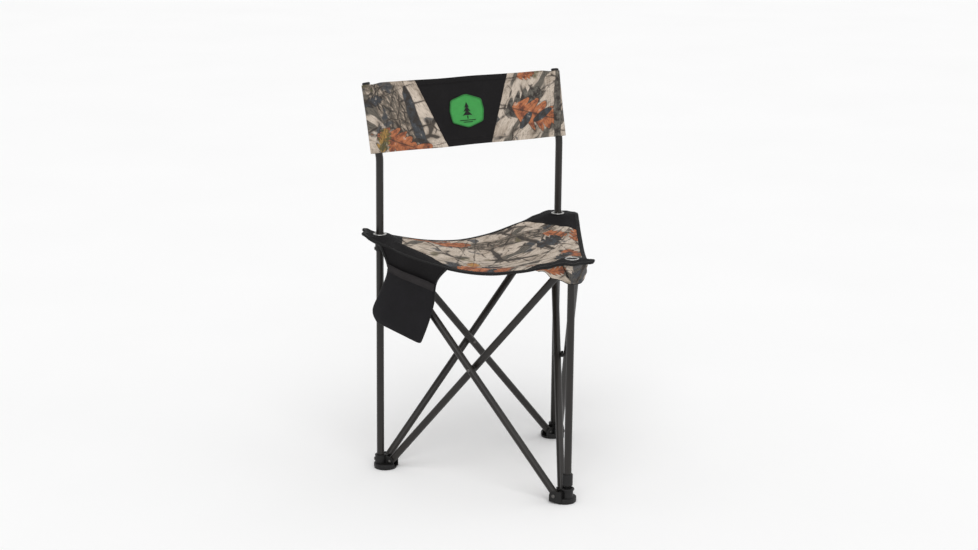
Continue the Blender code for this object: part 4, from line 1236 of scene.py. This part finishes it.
def make_end_plugs():
    """Black plugs pressed into the open ends of the cross tubes."""
    profile = [(0.0, 0.0018), (0.0035, 0.0017), (0.0062, 0.0012), (0.0077, 0.0004), (0.0079, 0.0001)]
    profile += [(0.0066, 0.0001), (0.0064, -0.006), (0.0, -0.006)]
    for a, b in ((a, b) for a in NAMES for b in NAMES if a != b):
        start, end, along = tube_axis(f"cross_tube_{a}_{b}")
        for label, point, way in (("a", start, -along), ("b", end, along)):
            where = Matrix.Translation(point) @ way.to_track_quat("Z", "Y").to_matrix().to_4x4()
            turned_piece(f"tube_plug_{a}_{b}_{label}", profile, where, PLASTIC, f"tube_{a}_{b}", 32, 40)


def dress_frame():
    """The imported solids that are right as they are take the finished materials."""
    slots = {s["node"]: s["material_slot"] for s in frame["record"]["subparts"]}
    for name, obj in frame["nodes"].items():
        obj.data.materials.clear()
        obj.data.materials.append(LOOKS[slots[name]][0])


# Studio


def make_studio():
    bpy.ops.mesh.primitive_plane_add(size=160, location=(0, 0, 0))
    floor = bpy.context.object
    floor.name = "floor"
    paint = Shader("pale_floor")
    mottle = paint.noise(paint.place(), 1.5, 4, 0.5)
    colour = paint.mix(mottle, (0.93, 0.93, 0.93), (0.97, 0.97, 0.97))
    floor.data.materials.append(paint.finish(colour, 0.85, None, Specular_IOR_Level=0.1))
    world = bpy.data.worlds.new("studio")
    bpy.context.scene.world = world
    world.use_nodes = True
    world.node_tree.nodes["Background"].inputs[0].default_value = (1, 1, 1, 1)
    world.node_tree.nodes["Background"].inputs[1].default_value = 0.62
    lamps = (("key", (-1.6, -2.6, 3.4), 1.35, 50), ("fill", (2.6, -1.2, 2.2), 0.45, 70))
    for name, place, strength, spread in lamps:
        light = bpy.data.lights.new(name, "SUN")
        light.energy = strength
        light.angle = math.radians(spread)
        lamp = bpy.data.objects.new(name, light)
        lamp.rotation_euler = (-Vector(place)).to_track_quat("-Z", "Y").to_euler()
        bpy.context.scene.collection.objects.link(lamp)


def make_camera():
    azimuth, elevation, roll = math.radians(-31.86), math.radians(13.53), math.radians(0.577)
    distance = 4.280
    level = math.cos(elevation)
    back = Vector((math.sin(azimuth) * level, -math.cos(azimuth) * level, math.sin(elevation)))
    right = Vector((math.cos(azimuth), math.sin(azimuth), 0))
    up = back.cross(right)
    turned_right = right * math.cos(roll) + up * math.sin(roll)
    turned_up = up * math.cos(roll) - right * math.sin(roll)
    target = Vector((TRIPOD.x, TRIPOD.y, 0)) + right * -0.0291 + UP * 0.4324
    data = bpy.data.cameras.new("camera")
    data.sensor_width = 36
    data.lens = 73.57
    camera = bpy.data.objects.new("camera", data)
    bpy.context.scene.collection.objects.link(camera)
    facing = Matrix((turned_right, turned_up, back)).transposed().to_4x4()
    camera.matrix_world = Matrix.Translation(target + back * distance) @ facing
    bpy.context.scene.camera = camera


# Materials, and the slot that each belongs to
COAT = powder_coat("powder_coat", (0.0110, 0.0090, 0.0076))
PLASTIC = moulded_plastic("moulded_plastic", (0.0062, 0.0058, 0.0058))
RIVET = bare_metal("rivet", (0.13, 0.125, 0.12), 0.30, 0.50)
NICKEL = bare_metal("nickel_plate", (0.62, 0.61, 0.59), 0.16, 0.34)
BLACK_CLOTH = black_cloth("black_polyester", (0.0042, 0.0036, 0.0040))
CHARCOAL = black_cloth("charcoal_band", (0.017, 0.0150, 0.0155), 0.0005)
TAPE = ribbed_tape("binding_tape", (0.0026, 0.0023, 0.0024))
GLOSSY_TAPE = ribbed_tape("glossy_piping", (0.0022, 0.0020, 0.0021), 0.0009, 0.40)
NET = net_cloth("fine_net", (0.0070, 0.0062, 0.0078))
THREAD = embroidery("thread", (0.012, 0.011, 0.011), 0.0)
BADGE_GREEN = embroidery("badge_green", (0.070, 0.47, 0.100), 0.6)
BADGE_RIM = embroidery("badge_rim", (0.035, 0.27, 0.055), 1.57)
BADGE_BLACK = embroidery("badge_black", (0.006, 0.006, 0.006), 0.9)
AUTUMN = (ORANGE, RUST)
BLUE = (SLATE, DARK)
GOLD = (YELLOW, ORANGE)
MOSS = (OLIVE, YELLOW)
STONE = (GREY, DARK)
DULL = (SLATE, GREY)
SEAT_LEAVES = [
    (-0.050, 0.128, -0.15, 0.090, 0.042, AUTUMN),
    (-0.112, 0.152, -0.35, 0.062, 0.030, AUTUMN),
    (-0.092, -0.030, 1.00, 0.060, 0.034, GOLD),
    (-0.062, -0.090, -0.90, 0.066, 0.040, AUTUMN),
    (-0.030, -0.145, 0.40, 0.052, 0.030, AUTUMN),
    (0.132, -0.066, 1.30, 0.070, 0.044, AUTUMN),
    (0.172, 0.058, -0.90, 0.056, 0.034, AUTUMN),
    (0.108, -0.072, 0.50, 0.062, 0.036, BLUE),
    (0.140, 0.036, 0.20, 0.070, 0.046, BLUE),
    (-0.066, -0.062, 0.30, 0.060, 0.036, BLUE),
    (-0.150, -0.045, 0.90, 0.066, 0.042, BLUE),
    (-0.108, -0.128, 0.30, 0.060, 0.040, BLUE),
    (-0.137, -0.074, 0.40, 0.068, 0.046, AUTUMN),
    (-0.118, -0.100, 0.80, 0.062, 0.044, AUTUMN),
    (-0.092, -0.148, 0.60, 0.062, 0.044, AUTUMN),
]
SEAT_TRUNKS = [((-0.040, 0.118), (0.170, 0.084), 0.024)]
CAMO_SEAT = camouflage("camouflage_seat", (2.0, 3.0, 0), SEAT_LEAVES, SEAT_TRUNKS, -0.45, (0.94, 0.95))
LEFT_LEAVES = [
    (-0.130, 0.074, 1.80, 0.150, 0.026, BLUE),
    (-0.226, 0.120, 0.30, 0.050, 0.026, BLUE),
    (-0.184, 0.032, -0.35, 0.104, 0.064, AUTUMN),
    (-0.214, 0.036, 1.20, 0.058, 0.040, MOSS),
    (-0.120, 0.014, 0.10, 0.050, 0.018, AUTUMN),
]
LEFT_TRUNKS = [((-0.225, 0.170), (-0.140, 0.040), 0.040)]
CAMO_LEFT = camouflage("camouflage_left", (6.3, 1.2, 0), LEFT_LEAVES, LEFT_TRUNKS, 0.9, (2, 2))
RIGHT_LEAVES_AND_SLEEVE_SHADE = [
    (0.146, 0.092, 0.45, 0.110, 0.056, STONE),
    (0.174, 0.066, -0.30, 0.120, 0.074, AUTUMN),
    (0.148, 0.052, 0.80, 0.050, 0.016, BLUE),
    (0.192, 0.062, 0.50, 0.056, 0.016, BLUE),
    (0.160, 0.153, 0.10, 0.050, 0.022, AUTUMN),
    # Not a leaf: a long dark blade along the right post, painted shade where the sleeve wraps round to its
    # far side
    (0.230, 0.085, 1.44, 0.240, 0.016, STONE),
]
CAMO_RIGHT = camouflage("camouflage_right", (9.1, 5.6, 0), RIGHT_LEAVES_AND_SLEEVE_SHADE, (), -0.9, (2, 2))
GUSSET_LEAVES = [(-0.058, 0.026, 0.10, 0.046, 0.026, AUTUMN), (-0.014, 0.020, 0.80, 0.036, 0.022, DULL)]
CAMO_GUSSET = camouflage("camouflage_gusset", (4.4, 7.9, 0), GUSSET_LEAVES, (), 0.35, (0.9, 0.95), 0.54)

LOOKS = {
    "dark_powder_coat": (COAT,),
    "black_plastic": (PLASTIC,),
    "rivet_steel": (RIVET,),
    "nickel": (NICKEL,),
    "camouflage_cloth": (CAMO_SEAT, CAMO_LEFT, CAMO_RIGHT, CAMO_GUSSET),
    "black_cloth": (BLACK_CLOTH, CHARCOAL, TAPE, GLOSSY_TAPE, THREAD, BADGE_BLACK),
    "black_mesh": (NET,),
    "green_badge": (BADGE_GREEN, BADGE_RIM),
}

make_camera()
dress_frame()
make_seat()
make_eyelets()
make_backrest()
make_pocket()
make_gusset()
make_end_plugs()
make_studio()
bpy.context.scene.view_settings.view_transform = "Standard"
